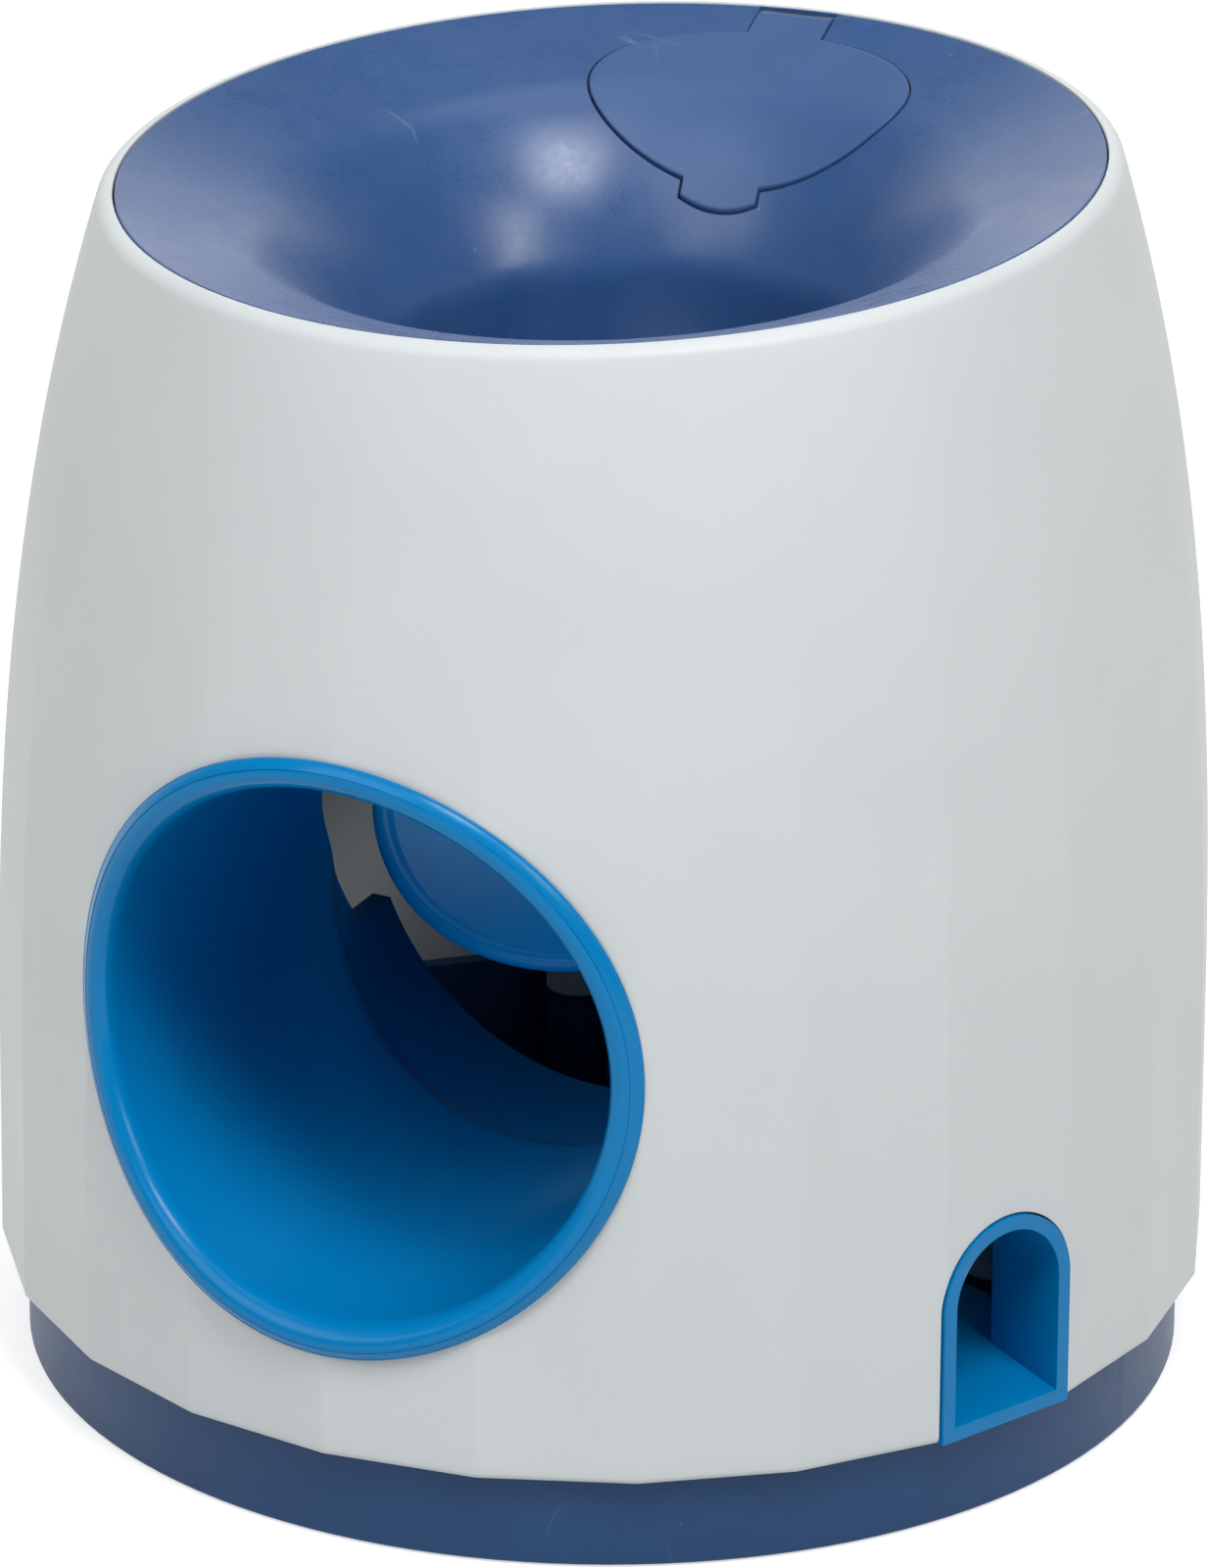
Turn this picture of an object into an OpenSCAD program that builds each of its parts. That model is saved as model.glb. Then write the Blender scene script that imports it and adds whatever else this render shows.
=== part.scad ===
// Ball-drop puzzle toy for dogs: a ball dropped into the top funnel tips an
// inner tray, rolls out of the front tube and opens a gate in the treat hopper.
// The ground is z = 0, the axis of the body is Z, and the ball tube faces -Y.
// An azimuth is counted from the tube (-Y) towards +X.

/* [Body shell] */
// Number of facets round the body
facets = 24; // [12:1:36]
// Radius to the facet corners at the widest part
body_radius = 85.3; // [82:0.1:92]
// Height of the funnel's edge above the ground, on the axis
body_height = 173.8; // [168:0.1:190]
// Height of the shell's lower edge above the ground
shell_bottom = 14.1; // [13:0.1:17]
// Height up to which the body stays straight
belly_height = 40; // [25:1:60]
// How suddenly the body draws in towards the top
barrel_power = 2.66; // [2:0.01:3.4]
// Wall of the body shell
shell_wall = 2.3; // [1.6:0.1:3]
// Rounding of the shell's lower edge
shell_edge = 1.2; // [0.6:0.1:1.6]
// Width of the white lip round the funnel
lip_width = 1.9; // [1.5:0.1:2.6]
// Tilt of the top rim
rim_tilt = 2.78; // [0:0.01:4]
// Azimuth of the rim's high side
rim_tilt_azimuth = 116.6; // [0:0.1:360]

/* [Funnel] */
// Radius of the seam between funnel and lip
rim_radius = 68.3; // [66:0.1:71]
// Thickness of the funnel sheet
sheet = 2.2; // [1.8:0.1:2.6]
// Slope of the band next to the rim
band_slope = 19; // [15:0.5:23]
// Radial width of that band
band_width = 15.5; // [13:0.1:17]
// Radius of the bend between band and wall
bend_radius = 16; // [12:0.5:18]
// Slope of the funnel's wall
wall_slope = 55; // [50:0.5:60]
// Radius of the throat that the ball drops through
throat_radius = 34.5; // [33:0.1:36]
// Bend from the wall into the throat
throat_bend = 8; // [6:0.5:10]
// Depth of the throat's lower end below the rim
throat_depth = 48; // [44:0.5:52]
// Depth of the seat ring under the rim
seat_depth = 3.5; // [3.5:0.1:4.5]
// Radial width of the seat ring
seat_width = 3; // [2.6:0.1:3.6]

/* [Hatch] */
// Azimuth of the hatch
hatch_azimuth = 183.4; // [175:0.1:190]
// Half of the lid's width, across the funnel
lid_half_width = 23.8; // [20:0.1:25]
// Half of the lid's length, up and down the funnel
lid_half_length = 13.4; // [12:0.1:14.4]
// Width of the hinge tab
hinge_tab = 11; // [8:0.1:13]
// Width of the finger tab
finger_tab = 11.4; // [8:0.1:14]
// How far the finger tab stands off the lid's middle
finger_shift = 1.1; // [0:0.1:2]
// How far the finger tab stands out of the lid
finger_reach = 2.8; // [2:0.1:5]
// How far the lid stands proud of the funnel
lid_proud = 0.25; // [0:0.05:0.4]
// Gap round the lid
lid_gap = 0.4; // [0.3:0.05:0.6]
// Width of the ledge under the lid's edge
ledge = 1.8; // [1.2:0.1:2.2]
// Radius of the hinge barrel
barrel_r = 1.3; // [1.1:0.05:1.4]
// Radius of the hinge pin
pin_r = 0.6; // [0.5:0.05:0.7]

/* [Ball tube] */
// Height of the tube's axis
tube_height = 72.5; // [70:0.1:76]
// Radius of the tube's bore
tube_bore = 36.8; // [36:0.1:38]
// Wall of the tube
tube_wall = 2.6; // [2:0.1:3]
// Radius of the outer edge of the rolled rim round the mouth
bead_outer = 43; // [42:0.1:44]
// Radius of the rolled rim's crest
bead_crest = 41.4; // [40.5:0.1:41.8]
// How far the rolled rim stands out of the body
bead_height = 1.2; // [1:0.1:3]
// How far the rim rolls back into the bore
bead_roll = 4; // [3:0.1:7]
// How far the soft ridge stands into the bore
ridge = 0.8; // [0.4:0.1:1]
// Height of the open trough's edge below the tube's axis
trough_edge = 14.4; // [10:0.1:16]

/* [Treat outlet] */
// Which facet the outlet sits in, counted from the tube
outlet_facet = 4; // [4:1:4]
// Width of the outlet's frame
outlet_width = 23.1; // [20:0.1:26]
// Height of the outlet's arch above the shell's lower edge
outlet_height = 31; // [28:0.1:36]
// Width of the frame's face
outlet_wall = 2.1; // [1.8:0.1:3]
// Height of the sill at the front of the outlet
sill_height = 2.1; // [1.8:0.1:3.4]
// Depth of the outlet from the facet to its inner end
outlet_depth = 40; // [36:0.5:42]

/* [Ball tray] */
// Radius of the tray's rim
tray_radius = 32.7; // [32:0.1:35]
// Height of the tray's centre at rest
tray_height = 85; // [83:0.1:88]
// Slope of the tray at rest
tray_slope = 35; // [30:0.5:38]
// Depth of the tray's hollow
tray_depth = 7; // [5:0.1:8]
// Thickness of the tray
tray_sheet = 2.2; // [1.8:0.1:2.6]
// Distance of the pivot behind the tray's rear edge
pivot_back = 9.3; // [7.6:0.1:10]
// Distance of the pivot below the tray's rear edge
pivot_drop = 3.7; // [3:0.1:6]
// Radius of the pivot shaft
shaft_r = 2.5; // [2:0.1:2.8]
// Radius of the steel counterweight
weight_r = 8; // [7:0.1:8.4]
// Length of the counterweight
weight_length = 14.5; // [12:0.1:15]

/* [Treat hopper] */
// Wall of the hopper
hopper_wall = 1.6; // [1.2:0.1:2]
// Outer radius of the gate round the pivot
gate_radius = 22; // [20:0.1:22.5]
// Half of the outlet slot's length
slot_half = 13; // [10:0.1:14]
// Gap between gate and hopper
gate_gap = 0.5; // [0.3:0.05:0.8]
// Thickness of the bearing ears
ear = 3.5; // [3:0.1:4]

/* [Treat slide] */
// Radius of the middle of the slide
slide_radius = 60; // [58:0.5:61]
// Inside width of the slide
slide_width = 24; // [20:0.5:25]
// Height of the slide's side walls
slide_side = 10; // [8:0.5:12]
// Wall of the slide
slide_wall = 1.6; // [1.2:0.1:2]

/* [Base and fasteners] */
// How far the base's side stands in from the body's widest part
base_inset = 3.7; // [3.4:0.1:6]
// Wall of the base
base_wall = 2.4; // [2:0.1:3]
// Rounding of the base's lower edge
base_edge = 0.5; // [0.3:0.1:1.6]
// How far the foot ring stands below the base
foot_height = 0.3; // [0.2:0.1:1.2]
// Thickness of the foot ring
foot_thickness = 2; // [1.6:0.1:2.4]
// Width of the foot ring
foot_width = 5; // [4:0.1:5.4]
// Radius of the screws' shanks
screw_r = 1.5; // [1.2:0.05:1.7]
// Radius of the screws' heads
screw_head_r = 2.8; // [2.4:0.1:3]
// Length of a screw's shank
screw_length = 12; // [10:0.5:13]
// Radius of pillars and bosses
boss_r = 4.5; // [4:0.1:5]

/* [Hidden] */
$fn = 96;
WHITE = "#dadcdd";
NAVY = "#2c4a7a";
BLUE = "#1480c8";
STEEL = "#a9adb0";
RUBBER = "#22262b";
fit = 0.05;
seam = 0.1;
clear = 0.3;
past = 20;

// Body
facet_angle = 360 / facets;
top_radius = rim_radius + lip_width;
facet_distance = body_radius * cos(facet_angle / 2);
inner_radius = facet_distance - shell_wall;
lip_round = lip_width - 0.2;
flange_top = seat_depth + seam;
flange_thickness = 2;
flange_radius = rim_radius - seam - seat_width - 0.2;
high_side = [sin(rim_tilt_azimuth), -cos(rim_tilt_azimuth)];
column_count = 4;
row_count = 14;

// Funnel
band_end = [rim_radius - band_width, -band_width * tan(band_slope)];
bend_centre = band_end + bend_radius * [sin(band_slope), -cos(band_slope)];
wall_start = bend_centre + bend_radius * [-sin(wall_slope), cos(wall_slope)];
wall_end_r = throat_radius + throat_bend * (1 - sin(wall_slope));
wall_end_z = wall_start[1] - (wall_start[0] - wall_end_r) * tan(wall_slope);
throat_centre = [throat_radius + throat_bend, wall_end_z - throat_bend * cos(wall_slope)];
rim_edge = rim_radius - seam;
hook_azimuths = [0, 60, 300];
hook_angle = 12;

// Hatch
hinge_inset = 1.7;
hinge_radius = rim_radius - hinge_inset;
hinge_depth = 2;
lid_pitch = band_slope + 9;
lid_setback = 4;
lid_relief = 0.2;
finger_round = 16;
ledge_start = 6;
lid_centre = lid_half_length + lid_setback;
lid_sheet = sheet - 0.5;
finger_end = lid_centre + lid_half_length + finger_reach;

// Ball tube
tube_outer = tube_bore + tube_wall;
mouth_radius = tube_bore + 1.4;
tube_end = -0.5;
ridge_y = -14;
ridge_lean = 0.28;
ridge_run = 4;

// Outlet
outlet_azimuth = (outlet_facet + 0.5) * facet_angle;
outlet_face = facet_distance + 0.4;
outlet_inner = outlet_face - outlet_depth;
tunnel_start = outlet_face - 13.5;
outlet_floor = shell_bottom + sill_height;
outlet_rise = 6.6;

// Tray and pivot
pivot_y = tray_radius * cos(tray_slope) + pivot_back;
pivot_z = tray_height + tray_radius * sin(tray_slope) - pivot_drop;
tray_sphere = (tray_radius * tray_radius + tray_depth * tray_depth) / (2 * tray_depth);
tray_rim = 1.4;
hub_r = shaft_r + 2.2;
gate_half = slot_half + hopper_wall + 0.6;
gate_sheet = 2;
gate_from = 37;
gate_to = 83;
slot_from = gate_from + 3;
slot_to = gate_to - 3;
fork_in = gate_half + clear;
fork_out = fork_in + 3.8;
bush_flange = 1;
bush_r = shaft_r + 1.5;
ear_in = fork_out + clear + bush_flange;
ear_out = ear_in + ear;
bush_end = ear_out + 0.2;
arm_in = ear_out + 1.1;
arm_out = arm_in + 3.8;
clip_at = bush_end + clear;
clip_width = 0.8;
weight_y = 20;
weight_z = -14;
arm_half = 5.5;
bumper_r = 3;
peg_r = 1.6;
arm_angle = atan2(weight_z, weight_y);
stop_along = 13;
stop_y = pivot_y + stop_along * cos(arm_angle) + (arm_half + clear + bumper_r) * sin(arm_angle);
stop_z = pivot_z + stop_along * sin(arm_angle) - (arm_half + clear + bumper_r) * cos(arm_angle);

// Hopper
hopper_front = throat_radius + sheet + 0.5;
hopper_rear = rim_radius - 6.3;
hopper_half = lid_half_width - 1.4;
ledge_under = sheet + 1.7;
hopper_floor_slope = 49;
hopper_top = body_height + 6;
lug_x = lid_half_width + boss_r + 5.7;
lug_y = 50;
lug_z = 146;
screw_web = 4;

// Slide
slide_from = 188;
slide_to = outlet_azimuth + 16.5;
slide_top = pivot_z - gate_radius;
slide_end = outlet_floor + outlet_rise + 1.6;
slide_floor = 2.6;
slide_rings = 18;
slide_inner = slide_radius - slide_width / 2;
slide_outer = slide_radius + slide_width / 2;
slide_legs = [172, 112];

// Base and fasteners
base_radius = body_radius - base_inset;
base_floor = foot_height + 3;
base_top = shell_bottom + 6.9;
screw_head = 2;
pad_top = 10;
shell_joint_r = 68;
shell_joint_z = base_top + 0.5;
shell_boss = 14;
shell_boss_top = shell_joint_z + shell_boss;
rib_inset = 0.8;
foot_outer = base_radius - base_wall - 0.2;
tube_foot = 8.9;
tube_feet = [14, 52];
tube_joint_z = tube_height - tube_outer - tube_foot;
shell_joints = [for (a = [30, 150, 210, 330]) polar(a, shell_joint_r)];
tube_joints = [for (y = tube_feet) [0, -y]];
outlet_joints = [polar(outlet_azimuth, outlet_inner + 5), polar(outlet_azimuth, outlet_inner + 16)];
slide_joints = [for (a = slide_legs) polar(a, slide_radius)];

// A point at an azimuth and a radius, seen from above
function polar(azimuth, r) = [r * sin(azimuth), -r * cos(azimuth)];

// Smooth step from 0 to 1
function smooth(t) = let (u = max(0, min(1, t))) u * u * (3 - 2 * u);

// Corner radius of the body at a height
function barrel(z) =
    let (t = max(0, z - belly_height) / (body_height - belly_height))
    body_radius - (body_radius - top_radius) * pow(t, barrel_power);

// Height that the tilted rim adds at a point of the plan
function rim_lift(p) = tan(rim_tilt) * (high_side[0] * p[0] + high_side[1] * p[1]);

// Radius of the body's skin: facets at the belly that fade to a round rim
function skin(z, azimuth) =
    let (
        from_middle = azimuth - facet_angle * (floor(azimuth / facet_angle) + 0.5),
        flat = cos(facet_angle / 2) / cos(from_middle),
        fade = smooth((z - belly_height) / (body_height - belly_height))
    )
    barrel(min(z, body_height)) * (flat + (1 - flat) * fade);

// Depth of the body's skin in front of the axis plane, along the tube
function front_skin(x, z) = -sqrt(pow(barrel(z), 2) - x * x);

// One ring of the body's outside: height, inset and shear towards the rim
function shell_ring(z, inset) = [
    for (i = [0 : facets * column_count - 1])
        let (
            azimuth = i * facet_angle / column_count,
            p = polar(azimuth, skin(z, azimuth) - inset),
            lean = (z - shell_bottom) / (body_height - shell_bottom)
        )
        [p[0], p[1], z + lean * rim_lift(p)]
];

// Radius of the round inside of the shell
function cavity_radius(z) = barrel(z) * cos(facet_angle / 2) - shell_wall;

// Funnel surface, a distance d under its face, as points of (radius, depth)
function bell(d) = concat(
    [[rim_edge, -d / cos(band_slope)]],
    [for (a = [band_slope : (wall_slope - band_slope) / 8 : wall_slope])
        bend_centre + (bend_radius - d) * [-sin(a), cos(a)]],
    [for (a = [wall_slope : (90 - wall_slope) / 4 : 90])
        throat_centre + (throat_bend - d) * [-sin(a), cos(a)]],
    [[throat_radius + d, -throat_depth]]
);

// Height of the funnel's band at a radius
function band_z(r) = -(rim_radius - r) * tan(band_slope);

function reversed(list) = [for (i = [len(list) - 1 : -1 : 0]) list[i]];

// Point at an angle from the vertical, towards the rear, round the pivot
function round_pivot(angle, r) = [pivot_y + r * sin(angle), pivot_z + r * cos(angle)];

// A solid through rings of points, with flat ends or closed on itself
module loft(rings, looped = false) {
    n = len(rings);
    m = len(rings[0]);
    sides = [
        for (i = [0 : n - (looped ? 1 : 2)])
            for (j = [0 : m - 1])
                let (a = i * m, b = ((i + 1) % n) * m, k = (j + 1) % m)
                each [[a + j, b + j, b + k], [a + j, b + k, a + k]]
    ];
    ends = looped ? [] : [[for (j = [0 : m - 1]) j], [for (j = [m - 1 : -1 : 0]) (n - 1) * m + j]];
    polyhedron([for (ring = rings) each ring], concat(sides, ends));
}

// Frame of the tilted rim, with its origin where the rim's plane meets the axis
module on_rim() {
    translate([0, 0, body_height])
        rotate(a = rim_tilt, v = [high_side[1], -high_side[0], 0])
            children();
}

// Frame of the lid: origin on the hinge, +Y down the funnel, +Z out of the lid
module on_lid() {
    on_rim()
        rotate([0, 0, hatch_azimuth])
            translate([0, -hinge_radius, -hinge_depth])
                rotate([-lid_pitch, 0, 0])
                    children();
}

// Extrudes a (y, z) outline along X
module along_x(from, to) {
    translate([from, 0, 0])
        rotate([90, 0, 90])
            linear_extrude(to - from)
                children();
}

// Round bar along X through the pivot
module pivot_bar(r, from, to) {
    along_x(from, to) translate([pivot_y, pivot_z]) circle(r);
}

// Extrudes an upright (across, height) outline outwards at the outlet
module along_outlet(from, to) {
    rotate([0, 0, outlet_azimuth])
        translate([0, -from, 0])
            rotate([90, 0, 0])
                linear_extrude(to - from)
                    children();
}

// Outline of the outlet's arch
module arch(half, top, bottom) {
    translate([0, top - half]) circle(half);
    translate([-half, bottom]) square([2 * half, top - half - bottom]);
}

// Outline of the lid without its tabs, grown by d
module lid_oval(d) {
    translate([0, lid_centre])
        polygon([for (a = [0 : 5 : 355]) [(lid_half_width + d) * cos(a), (lid_half_length + d) * sin(a)]]);
}

// Outline of the lid, grown by d
module lid_outline(d) {
    lid_oval(d);
    intersection() {
        translate([finger_shift - finger_tab / 2 - d, lid_centre])
            square([finger_tab + 2 * d, finger_end - lid_centre + d]);
        translate([finger_shift, finger_end - finger_round]) circle(finger_round + d);
    }
    translate([-hinge_tab / 2 - d, 0])
        square([hinge_tab + 2 * d, lid_centre]);
}

module lid_prism(d) {
    on_lid() translate([0, 0, -past]) linear_extrude(2 * past) lid_outline(d);
}

// Layer of the funnel between two depths under its face
module funnel_layer(from, to) {
    on_rim() rotate_extrude() polygon(concat(bell(from), reversed(bell(to))));
}

// Screw from below, whose head seats screw_web under the joint
module screw(joint) {
    translate([0, 0, joint - screw_web]) cylinder(r = screw_r, h = screw_length);
    translate([0, 0, joint - screw_web - screw_head]) cylinder(r = screw_head_r, h = screw_head);
}

module screws(points, joint) {
    color(STEEL) for (p = points) translate(p) screw(joint);
}

// Blind hole for a screw in the upper piece of a joint
module pilots(points, joint) {
    for (p = points)
        translate([p[0], p[1], joint - 1])
            cylinder(r = screw_r + fit, h = screw_length - screw_web + 2);
}

module body_shell() {
    edge_rows = [for (a = [0 : 30 : 90]) [shell_bottom + shell_edge * (1 - cos(a)), shell_edge * (1 - sin(a))]];
    first = shell_bottom + shell_edge;
    step = (body_height - lip_round - first) / row_count;
    wall_rows = [for (i = [1 : row_count]) [first + i * step, 0]];
    lip_rows = [for (a = [30 : 30 : 90]) [body_height - lip_round * (1 - sin(a)), lip_round * (1 - cos(a))]];
    cavity = [for (i = [0 : 12]) let (z = i * (body_height + 4) / 12) [cavity_radius(min(z, body_height)), z]];
    color(WHITE) difference() {
        union() {
            difference() {
                loft([for (row = concat(edge_rows, wall_rows, lip_rows)) shell_ring(row[0], row[1])]);
                intersection() {
                    rotate_extrude($fn = 180) polygon(concat([[0, 0]], cavity, [[0, body_height + 4]]));
                    on_rim()
                        translate([0, 0, -2 * body_height - flange_top - flange_thickness])
                            cylinder(r = 2 * body_radius, h = 2 * body_height);
                }
                on_rim() translate([0, 0, -flange_top]) cylinder(r = rim_radius + seam, h = past);
                on_rim() translate([0, 0, -past]) cylinder(r = flange_radius, h = 2 * past);
            }
            for (p = shell_joints)
                translate([p[0], p[1], shell_joint_z]) {
                    cylinder(r = boss_r, h = shell_boss_top - shell_joint_z);
                    rotate([0, 0, atan2(p[1], p[0])])
                        translate([0, -shell_wall / 2, rib_inset])
                            cube([inner_radius + shell_wall / 2 - shell_joint_r, shell_wall,
                                shell_boss_top - shell_joint_z - 2 * rib_inset]);
                }
        }
        pilots(shell_joints, shell_joint_z);
        translate([0, -body_radius / 2, tube_height])
            rotate([90, 0, 0])
                cylinder(r = tube_outer + clear, h = body_radius);
        along_outlet(body_radius * 0.7, body_radius + 10)
            arch(outlet_width / 2 + clear, shell_bottom + outlet_height + clear, 0);
    }
}

module funnel() {
    color(NAVY) difference() {
        union() {
            difference() {
                union() {
                    funnel_layer(0, sheet);
                    on_rim() rotate_extrude() funnel_seat();
                    for (a = hook_azimuths)
                        on_rim() rotate([0, 0, a - 90 - hook_angle / 2]) rotate_extrude(angle = hook_angle) hook();
                }
                lid_prism(lid_gap);
                on_lid() translate([0, -lid_relief, -past]) linear_extrude(2 * past) lid_oval(lid_gap);
            }
            intersection() {
                funnel_layer(sheet - 0.2, ledge_under - 0.4);
                on_rim() translate([0, 0, -throat_depth]) cylinder(r = flange_radius - clear, h = throat_depth);
                difference() {
                    lid_prism(lid_gap + ledge);
                    lid_prism(lid_gap - ledge);
                    on_lid() translate([-hinge_tab, -past, -past]) cube([2 * hinge_tab, past + ledge_start, 2 * past]);
                    on_lid() translate([-hinge_tab, lid_centre + lid_half_length - ledge, -past])
                        cube([2 * hinge_tab, past, 2 * past]);
                }
            }
            for (side = [-1, 1])
                let (p = [side * lug_x, lug_y], top = body_height + rim_lift(p) + band_z(norm(p)) - 1.5)
                translate([p[0], p[1], lug_z + seam])
                    cylinder(r = boss_r - 1, h = top - lug_z - seam);
        }
        pilots([[-lug_x, lug_y], [lug_x, lug_y]], lug_z);
        on_lid() rotate([0, 90, 0]) cylinder(r = hinge_inset + 2 * clear, h = hinge_tab + 2 * lid_gap, center = true);
        on_lid() rotate([0, 90, 0]) cylinder(r = pin_r + fit, h = hinge_tab + 9, center = true);
    }
}

// Ring under the funnel's edge that sits on the shell's flange
module funnel_seat() {
    inner = rim_edge - seat_width;
    polygon([[rim_edge, -1], [rim_edge, -seat_depth], [inner, -seat_depth], [inner, band_z(inner) - 1]]);
}

// Snap hook under the funnel that grips the shell's flange from below
module hook() {
    outer = flange_radius - clear;
    inner = outer - 2;
    grip = flange_top + flange_thickness + clear;
    polygon([[inner, band_z(inner) - 0.6], [outer, band_z(outer) - 0.6], [outer, -grip],
        [outer + 1.8, -grip], [outer, -grip - 2.6], [inner, -grip - 2.6]]);
}

module hatch_lid() {
    color(NAVY) difference() {
        union() {
            intersection() {
                funnel_layer(-lid_proud, lid_sheet);
                lid_prism(0);
            }
            on_lid() rotate([0, 90, 0]) cylinder(r = barrel_r, h = hinge_tab, center = true);
        }
        on_lid() rotate([0, 90, 0]) cylinder(r = pin_r + fit, h = hinge_tab + 2, center = true);
    }
}

module hatch_pin() {
    color(STEEL) on_lid() rotate([0, 90, 0]) cylinder(r = pin_r, h = hinge_tab + 8, center = true);
}

// Tube section as [radius, depth, share of the body's skin, lean of the ridge]
function tube_section() = concat(
    [[tube_outer, tube_end, 0, 0], [tube_bore, tube_end, 0, 0],
        [tube_bore, ridge_y + ridge_run, 0, 1], [tube_bore - ridge, ridge_y, 0, 1],
        [tube_bore - ridge / 2, ridge_y - ridge_run, 0, 1]],
    [for (a = [0 : 22.5 : 67.5]) [bead_crest - (bead_crest - mouth_radius) * cos(a),
        bead_roll * (1 - sin(a)) - bead_height - seam, 1, 0]],
    [for (a = [90 : -30 : 0]) [bead_crest + (bead_outer - bead_crest) * cos(a), -seam - bead_height * sin(a), 1, 0]],
    [[tube_outer, -seam, 1, 0]]
);

function tube_point(s, angle) =
    let (
        x = s[0] * cos(angle),
        rise = s[0] * sin(angle),
        y = s[1] + s[2] * front_skin(x, tube_height + rise) + s[3] * ridge_lean * rise
    )
    [x, y, tube_height + rise];

module ball_tube() {
    edge = tube_height - trough_edge;
    top = tube_height + tube_outer + past;
    color(BLUE) difference() {
        union() {
            loft([for (a = [0 : 5 : 355]) [for (s = tube_section()) tube_point(s, a)]], looped = true);
            for (p = tube_joints)
                translate([p[0], p[1], tube_joint_z])
                    cylinder(r = boss_r, h = tube_height - tube_outer + tube_wall / 2 - tube_joint_z);
        }
        along_x(-body_radius, body_radius)
            polygon([[past, edge], [ridge_y + ridge_run, edge], [2 * ridge_y, tube_height + tube_bore],
                [2 * ridge_y, top], [past, top]]);
        pilots(tube_joints, tube_joint_z);
    }
}

module tube_screws() screws(tube_joints, tube_joint_z);

// Plan of the outlet's pan, which reaches over to the end of the slide
module pan_plan() {
    half = outlet_width / 2;
    turn = slide_to - outlet_azimuth;
    reach = tunnel_start - 1;
    gap = 0.6;
    polygon([[-half, outlet_inner], [outlet_inner * tan(turn) - gap, outlet_inner],
        [reach * tan(turn) - gap, reach], [half, tunnel_start + 2], [half, outlet_face], [-half, outlet_face]]);
}

module treat_outlet() {
    half = outlet_width / 2;
    top = shell_bottom + outlet_height;
    wall_top = top - half;
    color(BLUE) difference() {
        union() {
            intersection() {
                rotate([0, 0, outlet_azimuth])
                    mirror([0, 1, 0])
                        linear_extrude(top)
                            pan_plan();
                rotate([0, 0, outlet_azimuth])
                    along_x(-body_radius, body_radius)
                        polygon([[-outlet_face, shell_bottom], [-outlet_face, outlet_floor],
                            [-outlet_inner, outlet_floor + outlet_rise], [-outlet_inner, shell_bottom]]);
            }
            along_outlet(tunnel_start, outlet_face)
                difference() {
                    arch(half, top, shell_bottom);
                    arch(half - outlet_wall, top - outlet_wall, shell_bottom - 1);
                }
            along_outlet(outlet_inner, tunnel_start)
                translate([-half, shell_bottom])
                    square([outlet_wall, wall_top - shell_bottom]);
            along_outlet(outlet_inner, outlet_inner + outlet_wall)
                translate([-half, shell_bottom])
                    square([outlet_width, wall_top - shell_bottom]);
            for (p = outlet_joints)
                translate([p[0], p[1], pad_top])
                    cylinder(r = boss_r - 1, h = shell_bottom + 1 - pad_top);
        }
        pilots(outlet_joints, pad_top);
    }
}

module outlet_screws() screws(outlet_joints, pad_top);

// Points along the tray's face, or a distance under it, from the middle to the rim
function dish_arc(under) =
    let (swing = asin(tray_radius / tray_sphere), r = tray_sphere + under)
    [for (i = [0 : 10]) [r * sin(i * swing / 10), tray_sphere - tray_depth - r * cos(i * swing / 10)]];

// Section of the tray's dish, with a rolled rim
module dish() {
    polygon(concat(dish_arc(0), reversed(dish_arc(tray_sheet))));
    translate([tray_radius, -tray_rim / 2]) circle(tray_rim);
}

module on_tray() {
    translate([0, 0, tray_height]) rotate([tray_slope, 0, 0]) children();
}

module ball_tray() {
    edge = sqrt(pow(tray_radius, 2) - pow((fork_in + fork_out) / 2, 2));
    edge_y = edge * cos(tray_slope);
    edge_z = tray_height + edge * sin(tray_slope);
    color(BLUE) difference() {
        union() {
            on_tray() rotate_extrude() dish();
            difference() {
                for (side = [-1, 1])
                    along_x(min(side * fork_in, side * fork_out), max(side * fork_in, side * fork_out)) {
                        translate([pivot_y, pivot_z]) circle(hub_r);
                        polygon([[pivot_y, pivot_z + hub_r], [edge_y + 0.6, edge_z + 1],
                            [edge_y - 2, edge_z - 4.5], [pivot_y, pivot_z - hub_r]]);
                    }
                on_tray() rotate_extrude()
                    polygon(concat(dish_arc(tray_sheet / 2), [[tray_radius, tray_radius], [0, tray_radius]]));
            }
        }
        pivot_bar(shaft_r + fit / 2, -fork_out - 1, fork_out + 1);
    }
}

module tray_shaft() {
    color(STEEL) difference() {
        pivot_bar(shaft_r, -arm_out - 1, clip_at + clip_width + 1.4);
        difference() {
            pivot_bar(shaft_r + 1, clip_at - fit, clip_at + clip_width + fit);
            pivot_bar(shaft_r - 0.6, clip_at - 1, clip_at + clip_width + 1);
        }
    }
}

// Turned section round the pivot between two angles from the vertical
module round_pivot_sector(from, to) {
    translate([0, pivot_y, pivot_z])
        rotate([0, 90, 0])
            rotate([0, 0, 180 - to])
                rotate_extrude(angle = to - from)
                    children();
}

module treat_gate() {
    web = 2.2;
    color(BLUE) difference() {
        union() {
            round_pivot_sector(gate_from, gate_to) {
                translate([gate_radius - gate_sheet, -gate_half]) square([gate_sheet, 2 * gate_half]);
                for (side = [-gate_half, gate_half - web])
                    translate([shaft_r + 1, side]) square([gate_radius - gate_sheet / 2 - shaft_r - 1, web]);
            }
            pivot_bar(hub_r - 0.4, -gate_half, gate_half);
        }
        pivot_bar(shaft_r + fit / 2, -gate_half - 1, gate_half + 1);
    }
}

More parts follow.
